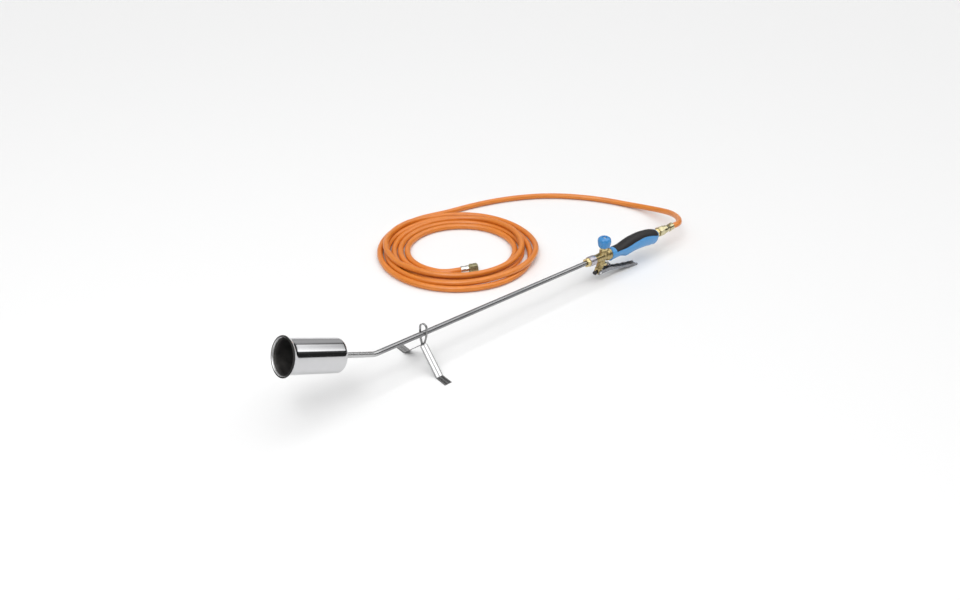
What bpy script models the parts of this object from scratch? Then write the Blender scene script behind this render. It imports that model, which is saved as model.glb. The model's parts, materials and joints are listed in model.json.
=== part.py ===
"""A propane torch for roofing felt, with its hose, resting on its stand and its lever.

+X runs along the torch from the burner to the handle, +Z is up, metres.
The origin is on the ground, under the middle of the torch without its hose.
Lengths are written in millimetres times MM.
"""

import math

import bmesh
import bpy
from mathutils import Matrix, Vector

MM = 0.001
GAP = 0.3 * MM

# Driving dimensions of the torch
LANCE_HEIGHT = 67.9 * MM
LANCE_FALL = math.radians(1.07)
NECK_RISE = math.radians(23.59)
TUBE_RADIUS = 5.0 * MM
TUBE_BORE = 3.6 * MM
BEND_X = -102.2 * MM
BEND_RADIUS = 32.0 * MM
NECK_LENGTH = 79.5 * MM
LANCE_END_X = 447.0 * MM

BURNER_RADIUS = 30.0 * MM
BURNER_LENGTH = 103.3 * MM
BURNER_BACK = 2.6 * MM
BURNER_WALL = 1.2 * MM
RIM_RADIUS = 34.6 * MM
RIM_LIP_RADIUS = 34.2 * MM

VALVE_X = 480.0 * MM
BRANCH_TILT = math.radians(16.5)
BRANCH_RADIUS = 8.0 * MM
PLUNGER_DROP = 18.3 * MM
LEVER_PIVOT = (-11.0 * MM, -35.0 * MM)
LEVER_HALF_WIDTH = 7.3 * MM
LEVER_SHEET = 1.2 * MM
LEVER_END_X = 113.4 * MM
PIN_RADIUS = 1.8 * MM
PIN_HOLE_RADIUS = 2.1 * MM
PIN_HOLE_REACH = 9.0 * MM
SPRING_TURNS = 4
SPRING_PITCH = 1.3 * MM
SPRING_RADIUS = 2.85 * MM
SPRING_WIRE_RADIUS = 0.35 * MM

HANDLE_START = 499.0 * MM
HANDLE_END = 650.5 * MM
INSERT_START = 512.5 * MM
INSERT_END = 648.4 * MM
INSERT_DEPTH = 2.2 * MM
INLET_END = 680.0 * MM

STAND_X = -0.8 * MM
STAND_LEAN = 4.2 * MM
FOOT_INNER = 51.2 * MM
FOOT_LENGTH = 26.0 * MM
STAND_WIDTH = 15.3 * MM
STAND_SHEET = 1.5 * MM

# Driving dimensions of the hose
HOSE_RADIUS = 6.65 * MM
COIL_CENTRE = (320.0 * MM, 300.0 * MM)
COIL_OUTER = 186.5 * MM
COIL_INNER = 115.5 * MM
COIL_HEIGHT = 28.0 * MM
CLAMP_START = 699.0 * MM
END_FITTING_START = (260.8 * MM, 214.6 * MM)
END_FITTING_HEADING = math.radians(-22.7)
END_FITTING_HEIGHT = 9.6 * MM

# The hose's own lie, from the clamp to the coil, and from the coil to the end fitting
LEAD_ROUTE = [
    (698.6, 0.0, 54.9),
    (716.0, 0.0, 54.4),
    (735.0, 1.6, 53.0),
    (756.0, 14.0, 49.0),
    (777.0, 35.0, 43.0),
    (793.0, 57.0, 36.5),
    (805.0, 83.0, 29.5),
    (811.0, 108.0, 23.0),
    (813.0, 145.0, 15.0),
    (808.0, 179.0, 10.0),
    (798.0, 210.0, 7.6),
    (786.0, 240.0, 6.9),
    (771.0, 268.0, 6.9),
    (754.0, 295.0, 6.9),
    (715.0, 343.0, 6.9),
    (668.0, 384.0, 6.9),
    (613.0, 416.0, 6.9),
    (552.0, 440.0, 6.9),
    (486.0, 456.0, 6.9),
    (420.0, 466.8, 6.9),
]
END_RUN_ROUTE = [
    (251.2, 219.2, 9.3),
    (254.2, 217.7, 9.5),
    (257.0, 216.4, 9.6),
    (259.6, 215.3, 9.6),
]

HOSE_POINT_SPACING = 2.0
END_RUN_POINT_SPACING = 0.6

# Handle outline: place along the lance, height above it, depth below it, half width
HANDLE_OUTLINE = [
    (499.0, 12.8, 16.8, 13.6),
    (506.5, 11.4, 16.0, 13.4),
    (514.0, 10.6, 15.5, 13.2),
    (523.0, 10.3, 15.3, 13.0),
    (533.0, 11.2, 15.9, 13.1),
    (541.0, 13.3, 18.6, 13.6),
    (550.0, 16.0, 21.5, 14.3),
    (560.0, 18.2, 19.8, 15.0),
    (572.0, 19.8, 17.6, 15.4),
    (586.0, 20.6, 17.2, 15.6),
    (600.0, 20.4, 17.5, 15.6),
    (614.0, 18.8, 18.6, 15.6),
    (626.0, 16.8, 20.8, 15.5),
    (634.0, 15.0, 20.6, 15.3),
    (641.0, 12.9, 22.8, 14.9),
    (646.5, 11.2, 22.6, 13.8),
    (650.5, 9.8, 20.6, 12.2),
]
# Edge between the grip insert and the handle body: place, height above the lance
INSERT_EDGE = [
    (499.0, 3.6),
    (518.0, 3.4),
    (539.0, 3.6),
    (556.0, 6.4),
    (571.0, 9.1),
    (600.0, 11.4),
    (625.0, 7.8),
    (645.0, 1.8),
    (650.5, 0.6),
]
# How square the handle's cross-section is: 1 is an ellipse
HANDLE_POWER = 0.92
# Lever: place behind the knob's axis, height of its lower edge under the lance's line
LEVER_EDGE = [
    (-1.0, -38.6),
    (8.0, -38.6),
    (25.0, -39.8),
    (45.0, -43.8),
    (68.0, -49.0),
    (90.0, -53.3),
    (105.0, -55.8),
    (113.4, -56.0),
]
# Lever: place behind the knob's axis, height of its side flanges
LEVER_FLANGE = [(0.0, 7.6), (10.0, 8.4), (22.0, 8.0), (36.0, 5.6), (108.0, 5.6), (113.4, 3.2)]


def rim_front_x():
    """The burner's foremost point, on the lower side of its tilted rim."""
    bend = BEND_X * math.cos(LANCE_FALL)
    along = (NECK_LENGTH + BURNER_LENGTH) * math.cos(NECK_RISE)
    return bend - along - RIM_LIP_RADIUS * math.sin(NECK_RISE)


ORIGIN_X = (rim_front_x() + INLET_END * math.cos(LANCE_FALL)) / 2

# Frames: LANCE runs along the lance with x measured from the stand, VALVE is on the
# knob's axis, BURNER is on the burner's axis with x = 0 at its back.
LANCE = Matrix.Translation((-ORIGIN_X, 0, LANCE_HEIGHT)) @ Matrix.Rotation(LANCE_FALL, 4, "Y")
VALVE = LANCE @ Matrix.Translation((VALVE_X, 0, 0))
BURNER = (
    LANCE
    @ Matrix.Translation((BEND_X, 0, 0))
    @ Matrix.Rotation(NECK_RISE - LANCE_FALL, 4, "Y")
    @ Matrix.Translation((-NECK_LENGTH, 0, 0))
)
GROUND = Matrix.Translation((-ORIGIN_X, 0, 0))
UPRIGHT = Matrix.Rotation(math.radians(-90), 4, "Y")
SIDEWAYS = Matrix.Rotation(math.radians(90), 4, "Z")
BRANCH = VALVE @ Matrix.Rotation(math.radians(90) + BRANCH_TILT, 4, "Y")
PLUNGER = (
    VALVE
    @ Matrix.Rotation(BRANCH_TILT, 4, "Y")
    @ Matrix.Translation((0, 0, -PLUNGER_DROP))
)
PILOT = (
    VALVE
    @ Matrix.Translation((-18.2 * MM, 0, -32.7 * MM))
    @ Matrix.Rotation(math.radians(140), 4, "Y")
)
END_FITTING = (
    GROUND
    @ Matrix.Translation((*END_FITTING_START, END_FITTING_HEIGHT))
    @ Matrix.Rotation(END_FITTING_HEADING, 4, "Z")
    @ Matrix.Rotation(math.radians(90), 4, "X")
)

# Materials: colour, roughness, metallic
FINISHES = {
    "polished_steel": ((0.72, 0.72, 0.72), 0.12, 1.0),
    "lance_steel": ((0.50, 0.50, 0.50), 0.30, 1.0),
    "zinc": ((0.66, 0.66, 0.66), 0.35, 1.0),
    "grey_steel": ((0.48, 0.46, 0.48), 0.45, 1.0),
    "brass": ((0.66, 0.52, 0.22), 0.30, 1.0),
    "yellow_zinc": ((0.62, 0.56, 0.36), 0.32, 1.0),
    "knob_blue": ((0.06, 0.24, 0.62), 0.25, 0.0),
    "handle_blue": ((0.09, 0.34, 0.72), 0.38, 0.0),
    "grip_black": ((0.02, 0.02, 0.02), 0.75, 0.0),
    "seal_black": ((0.02, 0.02, 0.02), 0.60, 0.0),
    "hose_orange": ((0.76, 0.22, 0.02), 0.40, 0.0),
}


def clear_scene():
    for thing in list(bpy.data.objects):
        bpy.data.objects.remove(thing, do_unlink=True)


def material(name):
    found = bpy.data.materials.get(name)
    if found:
        return found
    colour, roughness, metallic = FINISHES[name]
    made = bpy.data.materials.new(name)
    made.use_nodes = True
    shader = made.node_tree.nodes["Principled BSDF"]
    shader.inputs["Base Color"].default_value = (*colour, 1.0)
    shader.inputs["Roughness"].default_value = roughness
    shader.inputs["Metallic"].default_value = metallic
    return made


def finish_mesh(name, bm, finish, frame, sharp=40.0):
    """Turn a bmesh into a named object with outward faces, placed by its frame."""
    bmesh.ops.remove_doubles(bm, verts=bm.verts, dist=1e-7)
    bmesh.ops.recalc_face_normals(bm, faces=bm.faces)
    mesh = bpy.data.meshes.new(name)
    bm.to_mesh(mesh)
    bm.free()
    mesh.shade_smooth()
    mesh.set_sharp_from_angle(angle=math.radians(sharp))
    mesh.materials.append(material(finish))
    made = bpy.data.objects.new(name, mesh)
    bpy.context.scene.collection.objects.link(made)
    made.matrix_world = frame
    return made


def boolean(target, other, operation):
    """Join or cut with another object, which is kept only as a hidden guide."""
    step = target.modifiers.new(f"{operation.lower()}_{other.name}", "BOOLEAN")
    step.object = other
    step.operation = operation
    step.solver = "EXACT"
    other.hide_render = True
    other.display_type = "WIRE"


def round_radius(radius, angle):
    return radius


def hex_radius(radius, angle):
    """A hexagon with this half width across its flats, one flat facing +Y."""
    sector = math.radians(60)
    return radius / math.cos((angle + sector / 2) % sector - sector / 2)


def flute_radius(radius, angle):
    """The knob's eight shallow finger flutes."""
    return radius * (1 - 0.07 * max(0.0, math.cos(8 * angle)))


def turned(name, profile, finish, frame, segments=24, closed=False, sharp=40.0):
    """A solid turned round local X. A profile point is (x, radius) or (x, radius, shape).

    An open profile starts and ends on the axis, a closed one goes round a bore.
    """
    bm = bmesh.new()
    rings = []
    for x, radius, *shape in profile:
        outline = shape[0] if shape else round_radius
        if radius == 0:
            rings.append([bm.verts.new((x, 0, 0))])
            continue
        ring = []
        for step in range(segments):
            angle = 2 * math.pi * step / segments
            reach = outline(radius, angle)
            ring.append(bm.verts.new((x, reach * math.cos(angle), reach * math.sin(angle))))
        rings.append(ring)
    pairs = list(zip(rings, rings[1:]))
    if closed:
        pairs.append((rings[-1], rings[0]))
    for first, second in pairs:
        for step in range(segments):
            after = (step + 1) % segments
            corners = [first[step % len(first)], first[after % len(first)]]
            corners += [second[after % len(second)], second[step % len(second)]]
            bm.faces.new(list(dict.fromkeys(corners)))
    return finish_mesh(name, bm, finish, frame, sharp)


def block(name, low, high, finish, frame):
    """A plain box between two corners."""
    bm = bmesh.new()
    size = [top - bottom for bottom, top in zip(low, high)]
    middle = [(top + bottom) / 2 for bottom, top in zip(low, high)]
    bmesh.ops.create_cube(bm, size=1.0)
    bmesh.ops.scale(bm, vec=size, verts=bm.verts)
    bmesh.ops.translate(bm, vec=middle, verts=bm.verts)
    return finish_mesh(name, bm, finish, frame)


def plate(name, outline, low_y, high_y, finish, frame):
    """A flat outline in local x and z, given a thickness along y."""
    bm = bmesh.new()
    low = [bm.verts.new((x, low_y, z)) for x, z in outline]
    high = [bm.verts.new((x, high_y, z)) for x, z in outline]
    bm.faces.new(low)
    bm.faces.new(high[::-1])
    for step in range(len(outline)):
        after = (step + 1) % len(outline)
        bm.faces.new((low[step], low[after], high[after], high[step]))
    return finish_mesh(name, bm, finish, frame)


def swept(name, path, sections, finish, frame, sharp=40.0):
    """Join the same number of points at each station into one closed solid."""
    bm = bmesh.new()
    rings = []
    for centre, section in zip(path, sections):
        rings.append([bm.verts.new(Vector(centre) + Vector(point)) for point in section])
    count = len(rings[0])
    for first, second in zip(rings, rings[1:]):
        for step in range(count):
            after = (step + 1) % count
            bm.faces.new((first[step], first[after], second[after], second[step]))
    bm.faces.new(rings[0])
    bm.faces.new(rings[-1][::-1])
    return finish_mesh(name, bm, finish, frame, sharp)


def smooth_curve(points, spacing):
    """Points at an even spacing along a Catmull-Rom curve through the given ones."""
    points = [Vector(point) for point in points]
    ends = [2 * points[0] - points[1], *points, 2 * points[-1] - points[-2]]
    fine = [points[0]]
    for before, start, end, after in zip(ends, ends[1:], ends[2:], ends[3:]):
        for step in range(1, 25):
            t = step / 24
            fine.append(
                0.5
                * (
                    2 * start
                    + (end - before) * t
                    + (2 * before - 5 * start + 4 * end - after) * t * t
                    + (3 * start - before - 3 * end + after) * t * t * t
                )
            )
    lengths = [0.0]
    for first, second in zip(fine, fine[1:]):
        lengths.append(lengths[-1] + (second - first).length)
    count = max(2, round(lengths[-1] / spacing))
    even = []
    place = 0
    for step in range(count + 1):
        wanted = lengths[-1] * step / count
        while place < len(fine) - 2 and lengths[place + 1] < wanted:
            place += 1
        share = (wanted - lengths[place]) / (lengths[place + 1] - lengths[place])
        even.append(fine[place].lerp(fine[place + 1], share))
    return even


def between(table, place):
    """Read a table of (place, value, ...) rows at a place, smoothly between rows."""
    place = min(max(place, table[0][0]), table[-1][0])
    for index in range(len(table) - 1):
        if place <= table[index + 1][0]:
            break
    low, high = table[index], table[index + 1]
    before = table[max(index - 1, 0)]
    after = table[min(index + 2, len(table) - 1)]
    width = high[0] - low[0]
    t = (place - low[0]) / width
    values = []
    for column in range(1, len(low)):
        left = (high[column] - before[column]) / (high[0] - before[0]) * width
        right = (after[column] - low[column]) / (after[0] - low[0]) * width
        values.append(
            low[column] * (2 * t**3 - 3 * t**2 + 1)
            + left * (t**3 - 2 * t**2 + t)
            + high[column] * (3 * t**2 - 2 * t**3)
            + right * (t**3 - t**2)
        )
    return values


def make_burner():
    back, front = BURNER_BACK, -BURNER_LENGTH
    inner = BURNER_RADIUS - BURNER_WALL
    turned(
        "burner_shell",
        [
            (back, 22.0 * MM),
            (back, 26.4 * MM),
            (back - 1.0 * MM, 28.4 * MM),
            (back - 2.8 * MM, 29.6 * MM),
            (back - 5.4 * MM, BURNER_RADIUS),
            (front + 9.0 * MM, BURNER_RADIUS),
            (front + 5.2 * MM, 30.7 * MM),
            (front + 2.2 * MM, 33.0 * MM),
            (front + 0.8 * MM, RIM_RADIUS),
            (front, RIM_LIP_RADIUS),
            (front - 0.2 * MM, 33.2 * MM),
            (front + 1.2 * MM, 31.6 * MM),
            (front + 4.6 * MM, 29.4 * MM),
            (front + 9.0 * MM, inner),
            (-8.6 * MM, inner),
            (back - 5.0 * MM, inner),
            (back - 2.0 * MM, 27.2 * MM),
            (back - BURNER_WALL, 22.0 * MM),
        ],
        "polished_steel",
        BURNER,
        segments=32,
        closed=True,
        sharp=60.0,
    )
    back_plate = turned(
        "burner_back_plate",
        [
            (-8.9 * MM, TUBE_RADIUS + GAP),
            (-8.9 * MM, inner - GAP),
            (-10.1 * MM, inner - GAP),
            (-10.1 * MM, TUBE_RADIUS + GAP),
        ],
        "grey_steel",
        BURNER,
        closed=True,
    )
    for hole in air_holes("air_hole", 6, 4.2 * MM, 18.0 * MM, -9.5 * MM):
        boolean(back_plate, hole, "DIFFERENCE")
    turned(
        "nozzle_body",
        [
            (-10.5 * MM, TUBE_RADIUS + GAP),
            (-10.5 * MM, 8.0 * MM, hex_radius),
            (-19.0 * MM, 8.0 * MM, hex_radius),
            (-19.0 * MM, 7.4 * MM),
            (-36.0 * MM, 7.4 * MM),
            (-36.0 * MM, 3.6 * MM),
            (-30.0 * MM, 3.6 * MM),
            (-26.0 * MM, TUBE_BORE),
            (-26.0 * MM, TUBE_RADIUS + GAP),
        ],
        "brass",
        BURNER,
        segments=12,
        closed=True,
    )
    turned(
        "gas_jet",
        [
            (-30.5 * MM, 0.8 * MM),
            (-30.5 * MM, 3.3 * MM),
            (-36.3 * MM, 3.3 * MM),
            (-36.3 * MM, 5.4 * MM, hex_radius),
            (-40.5 * MM, 5.4 * MM, hex_radius),
            (-42.5 * MM, 3.0 * MM),
            (-42.5 * MM, 0.8 * MM),
        ],
        "brass",
        BURNER,
        segments=12,
        closed=True,
    )
    holder = turned(
        "flame_holder",
        [
            (-44.0 * MM, 9.0 * MM),
            (-44.0 * MM, inner - GAP),
            (-45.2 * MM, inner - GAP),
            (-45.2 * MM, 10.2 * MM),
            (-52.0 * MM, 10.2 * MM),
            (-52.0 * MM, 9.0 * MM),
        ],
        "grey_steel",
        BURNER,
        closed=True,
    )
    for hole in air_holes("flame_hole", 8, 3.6 * MM, 19.0 * MM, -44.6 * MM):
        boolean(holder, hole, "DIFFERENCE")


def air_holes(name, count, radius, circle, x):
    """Round cutters in a ring, across a disc at this place in the burner."""
    for step in range(count):
        angle = 2 * math.pi * (step + 0.37) / count
        place = (x, circle * math.cos(angle), circle * math.sin(angle))
        reach = 3.0 * MM
        yield turned(
            f"{name}_{step}",
            [(-reach, 0), (-reach, radius), (reach, radius), (reach, 0)],
            "grey_steel",
            BURNER @ Matrix.Translation(place),
            segments=12,
        )


def lance_path():
    """Centre line from inside the coupling to inside the burner, in the lance's frame."""
    turn = NECK_RISE - LANCE_FALL
    reach = BEND_RADIUS * math.tan(turn / 2)
    neck_end = NECK_LENGTH + 25.5 * MM
    points = [(LANCE_END_X, 0.0, 0.0), (LANCE_END_X / 2, 0.0, 0.0)]
    directions = [0.0, 0.0]
    steps = 6
    for step in range(steps + 1):
        angle = turn * step / steps
        x = BEND_X + reach - BEND_RADIUS * math.sin(angle)
        z = BEND_RADIUS * (1 - math.cos(angle))
        points.append((x, 0.0, z))
        directions.append(angle)
    points.append((BEND_X - neck_end * math.cos(turn), 0.0, neck_end * math.sin(turn)))
    directions.append(turn)
    return points, directions


def make_lance():
    points, directions = lance_path()
    segments = 12
    bm = bmesh.new()
    skins = []
    for radius in (TUBE_RADIUS, TUBE_BORE):
        rings = []
        for point, direction in zip(points, directions):
            ring = []
            for step in range(segments):
                angle = 2 * math.pi * step / segments
                lift = radius * math.sin(angle)
                offset = (lift * math.sin(direction), radius * math.cos(angle))
                place = Vector(point) + Vector((*offset, lift * math.cos(direction)))
                ring.append(bm.verts.new(place))
            rings.append(ring)
        skins.append(rings)
    for rings in skins:
        for first, second in zip(rings, rings[1:]):
            for step in range(segments):
                after = (step + 1) % segments
                bm.faces.new((first[step], first[after], second[after], second[step]))
    for end in (0, -1):
        outer, bore = skins[0][end], skins[1][end]
        for step in range(segments):
            after = (step + 1) % segments
            bm.faces.new((outer[step], outer[after], bore[after], bore[step]))
    finish_mesh("lance_tube", bm, "lance_steel", LANCE)


def make_stand():
    """One sprung strip: near foot, leg, loop over the lance, leg, far foot."""
    thin = 4.0 * MM
    shift = 2.3 * MM
    arch_start = LANCE_HEIGHT + 13.0 * MM
    arch_rise = 7.6 * MM
    side = TUBE_RADIUS + 1.6 * MM
    knee = 43.3 * MM
    half = STAND_SHEET / 2
    # sideways place, height, place along the lance from the stand's middle, width
    near = [
        (-(FOOT_INNER + FOOT_LENGTH), half, 0.0, STAND_WIDTH),
        (-(FOOT_INNER + 1.5 * MM), half, 0.0, STAND_WIDTH),
        (-(FOOT_INNER - 1.5 * MM), half + 1.3 * MM, 0.0, STAND_WIDTH),
        (-3.2 * MM, knee - 1.4 * MM, 0.0, STAND_WIDTH),
        (-1.6 * MM, knee, 0.0, STAND_WIDTH - 0.7 * MM),
        (-1.0 * MM, knee + 1.1 * MM, -shift - 0.1 * MM, thin + 0.4 * MM),
        (0.6 * MM, knee + 3.3 * MM, -shift, thin),
        (3.6 * MM, knee + 10.3 * MM, -shift, thin),
        (side - 0.8 * MM, LANCE_HEIGHT - 7.0 * MM, -shift, thin),
        (side, LANCE_HEIGHT - 1.0 * MM, -shift, thin),
        (side, LANCE_HEIGHT + 9.0 * MM, -shift, thin),
    ]
    arch = []
    for step in range(9):
        angle = math.pi * step / 8
        height = arch_start + (arch_rise - half) * math.sin(angle)
        arch.append((side * math.cos(angle), height, -shift * math.cos(angle), thin))
    far = [(-y, z, -along, width) for y, z, along, width in reversed(near)]
    line = near + arch + far
    path = []
    sections = []
    for index, (y, z, along, width) in enumerate(line):
        before = line[max(index - 1, 0)]
        after = line[min(index + 1, len(line) - 1)]
        run = Vector((after[0] - before[0], after[1] - before[1])).normalized()
        across = Vector((0.0, -run.y, run.x)) * half
        wide = Vector((width / 2, 0.0, 0.0))
        path.append((STAND_X + along + STAND_LEAN * z / LANCE_HEIGHT, y, z))
        sections.append([-wide - across, wide - across, wide + across, -wide + across])
    swept("stand", path, sections, "zinc", GROUND, sharp=25.0)


def make_coupling():
    bore = TUBE_RADIUS + GAP
    turned(
        "lance_gland_nut",
        [
            (427.5 * MM, bore),
            (427.5 * MM, 8.0 * MM),
            (428.6 * MM, 8.5 * MM, hex_radius),
            (435.2 * MM, 8.5 * MM, hex_radius),
            (435.2 * MM, 7.4 * MM),
            (429.4 * MM, 7.4 * MM),
            (428.9 * MM, bore),
        ],
        "brass",
        LANCE,
        segments=12,
        closed=True,
    )
    turned(
        "compression_olive",
        [
            (429.7 * MM, bore),
            (429.7 * MM, 6.2 * MM),
            (431.3 * MM, 7.0 * MM),
            (433.7 * MM, 7.0 * MM),
            (435.3 * MM, 6.2 * MM),
            (435.3 * MM, bore),
        ],
        "brass",
        LANCE,
        segments=16,
        closed=True,
    )
    turned(
        "coupling_sleeve",
        [
            (435.6 * MM, bore),
            (435.6 * MM, 10.0 * MM),
            (436.5 * MM, 10.8 * MM),
            (451.8 * MM, 10.8 * MM),
            (452.8 * MM, 9.9 * MM),
            (452.8 * MM, 3.0 * MM),
            (448.0 * MM, 3.0 * MM),
            (448.0 * MM, bore),
        ],
        "grey_steel",
        LANCE,
        segments=20,
        closed=True,
    )


def make_valve_body():
    body = turned(
        "valve_body",
        [
            (-26.9 * MM, 0),
            (-26.9 * MM, 8.8 * MM),
            (-18.0 * MM, 8.8 * MM),
            (-10.0 * MM, 9.3 * MM),
            (-3.0 * MM, 10.2 * MM),
            (3.0 * MM, 10.2 * MM),
            (6.6 * MM, 10.0 * MM),
            (8.2 * MM, 12.4 * MM),
            (9.6 * MM, 13.4 * MM),
            (17.6 * MM, 13.4 * MM),
            (18.7 * MM, 12.5 * MM),
            (18.7 * MM, 0),
        ],
        "brass",
        VALVE,
    )
    neck = turned(
        "valve_neck",
        [(0, 0), (0, 8.6 * MM), (14.8 * MM, 8.6 * MM), (14.8 * MM, 0)],
        "brass",
        VALVE @ UPRIGHT,
        segments=20,
    )
    branch = turned(
        "valve_branch",
        [(0, 0), (0, BRANCH_RADIUS), (25.4 * MM, BRANCH_RADIUS), (26.9 * MM, 6.4 * MM), (26.9 * MM, 0)],
        "brass",
        BRANCH,
        segments=20,
    )
    lug_half = LEVER_HALF_WIDTH - LEVER_SHEET - GAP
    lug = plate(
        "valve_lug",
        [
            (-15.6 * MM, -24.0 * MM),
            (-16.6 * MM, -35.0 * MM),
            (-14.6 * MM, -39.0 * MM),
            (-11.0 * MM, -40.4 * MM),
            (-7.4 * MM, -39.0 * MM),
            (-5.6 * MM, -35.0 * MM),
            (-3.0 * MM, -24.0 * MM),
        ],
        -lug_half,
        lug_half,
        "brass",
        VALVE,
    )
    for piece in (neck, branch, lug):
        boolean(body, piece, "UNION")
    # name, start, end, radius, frame, in millimetres
    cuts = [
        ("gas_way", -28.0, 20.0, 3.0, VALVE),
        ("spindle_way", 0.0, 16.0, 2.9, VALVE @ UPRIGHT),
        ("seal_seat", 11.5, 16.0, 5.0, VALVE @ UPRIGHT),
        ("plunger_way", -5.0, 23.0, 3.8, PLUNGER),
        ("pilot_way", -6.0, 1.0, 2.1, PILOT),
        ("pilot_seat", -0.3, 8.0, 4.9, PILOT),
        ("gland_seat", 7.0, 21.5, 6.6, PLUNGER),
    ]
    for name, start, end, radius, frame in cuts:
        boolean(body, rod(name, start * MM, end * MM, radius * MM, frame), "DIFFERENCE")
    boolean(body, pin_hole("pin_way"), "DIFFERENCE")


def rod(name, start, end, radius, frame):
    """A plain round cutter along local x."""
    profile = [(start, 0), (start, radius), (end, radius), (end, 0)]
    return turned(name, profile, "brass", frame, segments=16)


def lever_frame():
    return VALVE @ Matrix.Translation((LEVER_PIVOT[0], 0, LEVER_PIVOT[1]))


def pin_hole(name):
    """Cutter for the lever pin's hole, through the lever or through the valve body."""
    return rod(name, -PIN_HOLE_REACH, PIN_HOLE_REACH, PIN_HOLE_RADIUS, lever_frame() @ SIDEWAYS)


def make_regulator():
    """Packing nut, spindle, its seal, and the flow regulating knob."""
    upright = VALVE @ UPRIGHT
    turned(
        "packing_nut",
        [
            (15.1 * MM, 2.8 * MM),
            (15.1 * MM, 7.5 * MM, hex_radius),
            (20.0 * MM, 7.5 * MM, hex_radius),
            (20.8 * MM, 6.4 * MM),
            (20.8 * MM, 2.8 * MM),
        ],
        "brass",
        upright,
        segments=12,
        closed=True,
    )
    turned(
        "spindle_seal",
        [
            (11.8 * MM, 2.8 * MM),
            (11.8 * MM, 4.7 * MM),
            (14.5 * MM, 4.7 * MM),
            (14.5 * MM, 2.8 * MM),
        ],
        "seal_black",
        upright,
        segments=16,
        closed=True,
    )
    turned(
        "valve_spindle",
        [
            (3.4 * MM, 0),
            (5.6 * MM, 2.5 * MM),
            (34.6 * MM, 2.5 * MM),
            (34.6 * MM, 0),
        ],
        "lance_steel",
        upright,
        segments=12,
    )
    turned(
        "regulating_knob",
        [
            (21.1 * MM, 2.8 * MM),
            (21.1 * MM, 8.6 * MM),
            (22.8 * MM, 11.4 * MM, flute_radius),
            (25.8 * MM, 13.0 * MM, flute_radius),
            (31.0 * MM, 14.3 * MM, flute_radius),
            (37.0 * MM, 14.9 * MM, flute_radius),
            (40.8 * MM, 14.0 * MM, flute_radius),
            (43.4 * MM, 11.6 * MM),
            (45.0 * MM, 8.0 * MM),
            (44.8 * MM, 5.8 * MM),
            (42.2 * MM, 4.6 * MM),
            (42.2 * MM, 3.6 * MM),
            (35.1 * MM, 3.6 * MM),
            (35.1 * MM, 2.8 * MM),
        ],
        "knob_blue",
        upright,
        segments=32,
        closed=True,
    )
    turned(
        "knob_screw",
        [
            (35.4 * MM, 0),
            (35.4 * MM, 3.3 * MM),
            (42.6 * MM, 3.3 * MM),
            (43.6 * MM, 2.2 * MM),
            (43.9 * MM, 0),
        ],
        "zinc",
        upright,
        segments=16,
    )


def make_plunger():
    turned(
        "plunger_gland",
        [
            (7.3 * MM, 3.6 * MM),
            (7.3 * MM, 5.0 * MM, hex_radius),
            (13.6 * MM, 5.0 * MM, hex_radius),
            (13.6 * MM, 4.3 * MM),
            (16.8 * MM, 4.0 * MM),
            (16.8 * MM, 2.3 * MM),
            (14.6 * MM, 2.3 * MM),
            (14.6 * MM, 3.6 * MM),
        ],
        "brass",
        PLUNGER,
        segments=12,
        closed=True,
    )
    turned(
        "valve_plunger",
        [
            (6.6 * MM, 0),
            (6.6 * MM, 3.3 * MM),
            (8.0 * MM, 3.3 * MM),
            (8.0 * MM, 2.0 * MM),
            (22.4 * MM, 2.0 * MM),
            (22.4 * MM, 4.6 * MM),
            (24.2 * MM, 4.6 * MM),
            (26.4 * MM, 3.4 * MM),
            (27.2 * MM, 1.6 * MM),
            (27.4 * MM, 0),
        ],
        "lance_steel",
        PLUNGER,
        segments=16,
    )
    steps = 10
    start = 8.7 * MM
    points = []
    for step in range(SPRING_TURNS * steps + 1):
        angle = 2 * math.pi * step / steps
        x = start + SPRING_PITCH * step / steps
        y = SPRING_RADIUS * math.cos(angle)
        points.append(PLUNGER @ Vector((x, y, SPRING_RADIUS * math.sin(angle))))
    cord("plunger_spring", points, SPRING_WIRE_RADIUS, "lance_steel", sides=1)


def lever_lower_edge(x):
    """Height of the lever's under side, with its shallow finger waves."""
    wave_start = 38.0 * MM
    wave_end = 108.0 * MM
    wave_length = 19.0 * MM
    wave_height = 0.6 * MM
    base = between(LEVER_EDGE, x / MM)[0] * MM
    rise = min(1.0, max(0.0, (x - wave_start) / (12.0 * MM)))
    fall = min(1.0, max(0.0, (wave_end - x) / (8.0 * MM)))
    wave = math.sin(2 * math.pi * (x - wave_start - 6.0 * MM) / wave_length)
    return base - wave_height * rise * fall * wave


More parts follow.
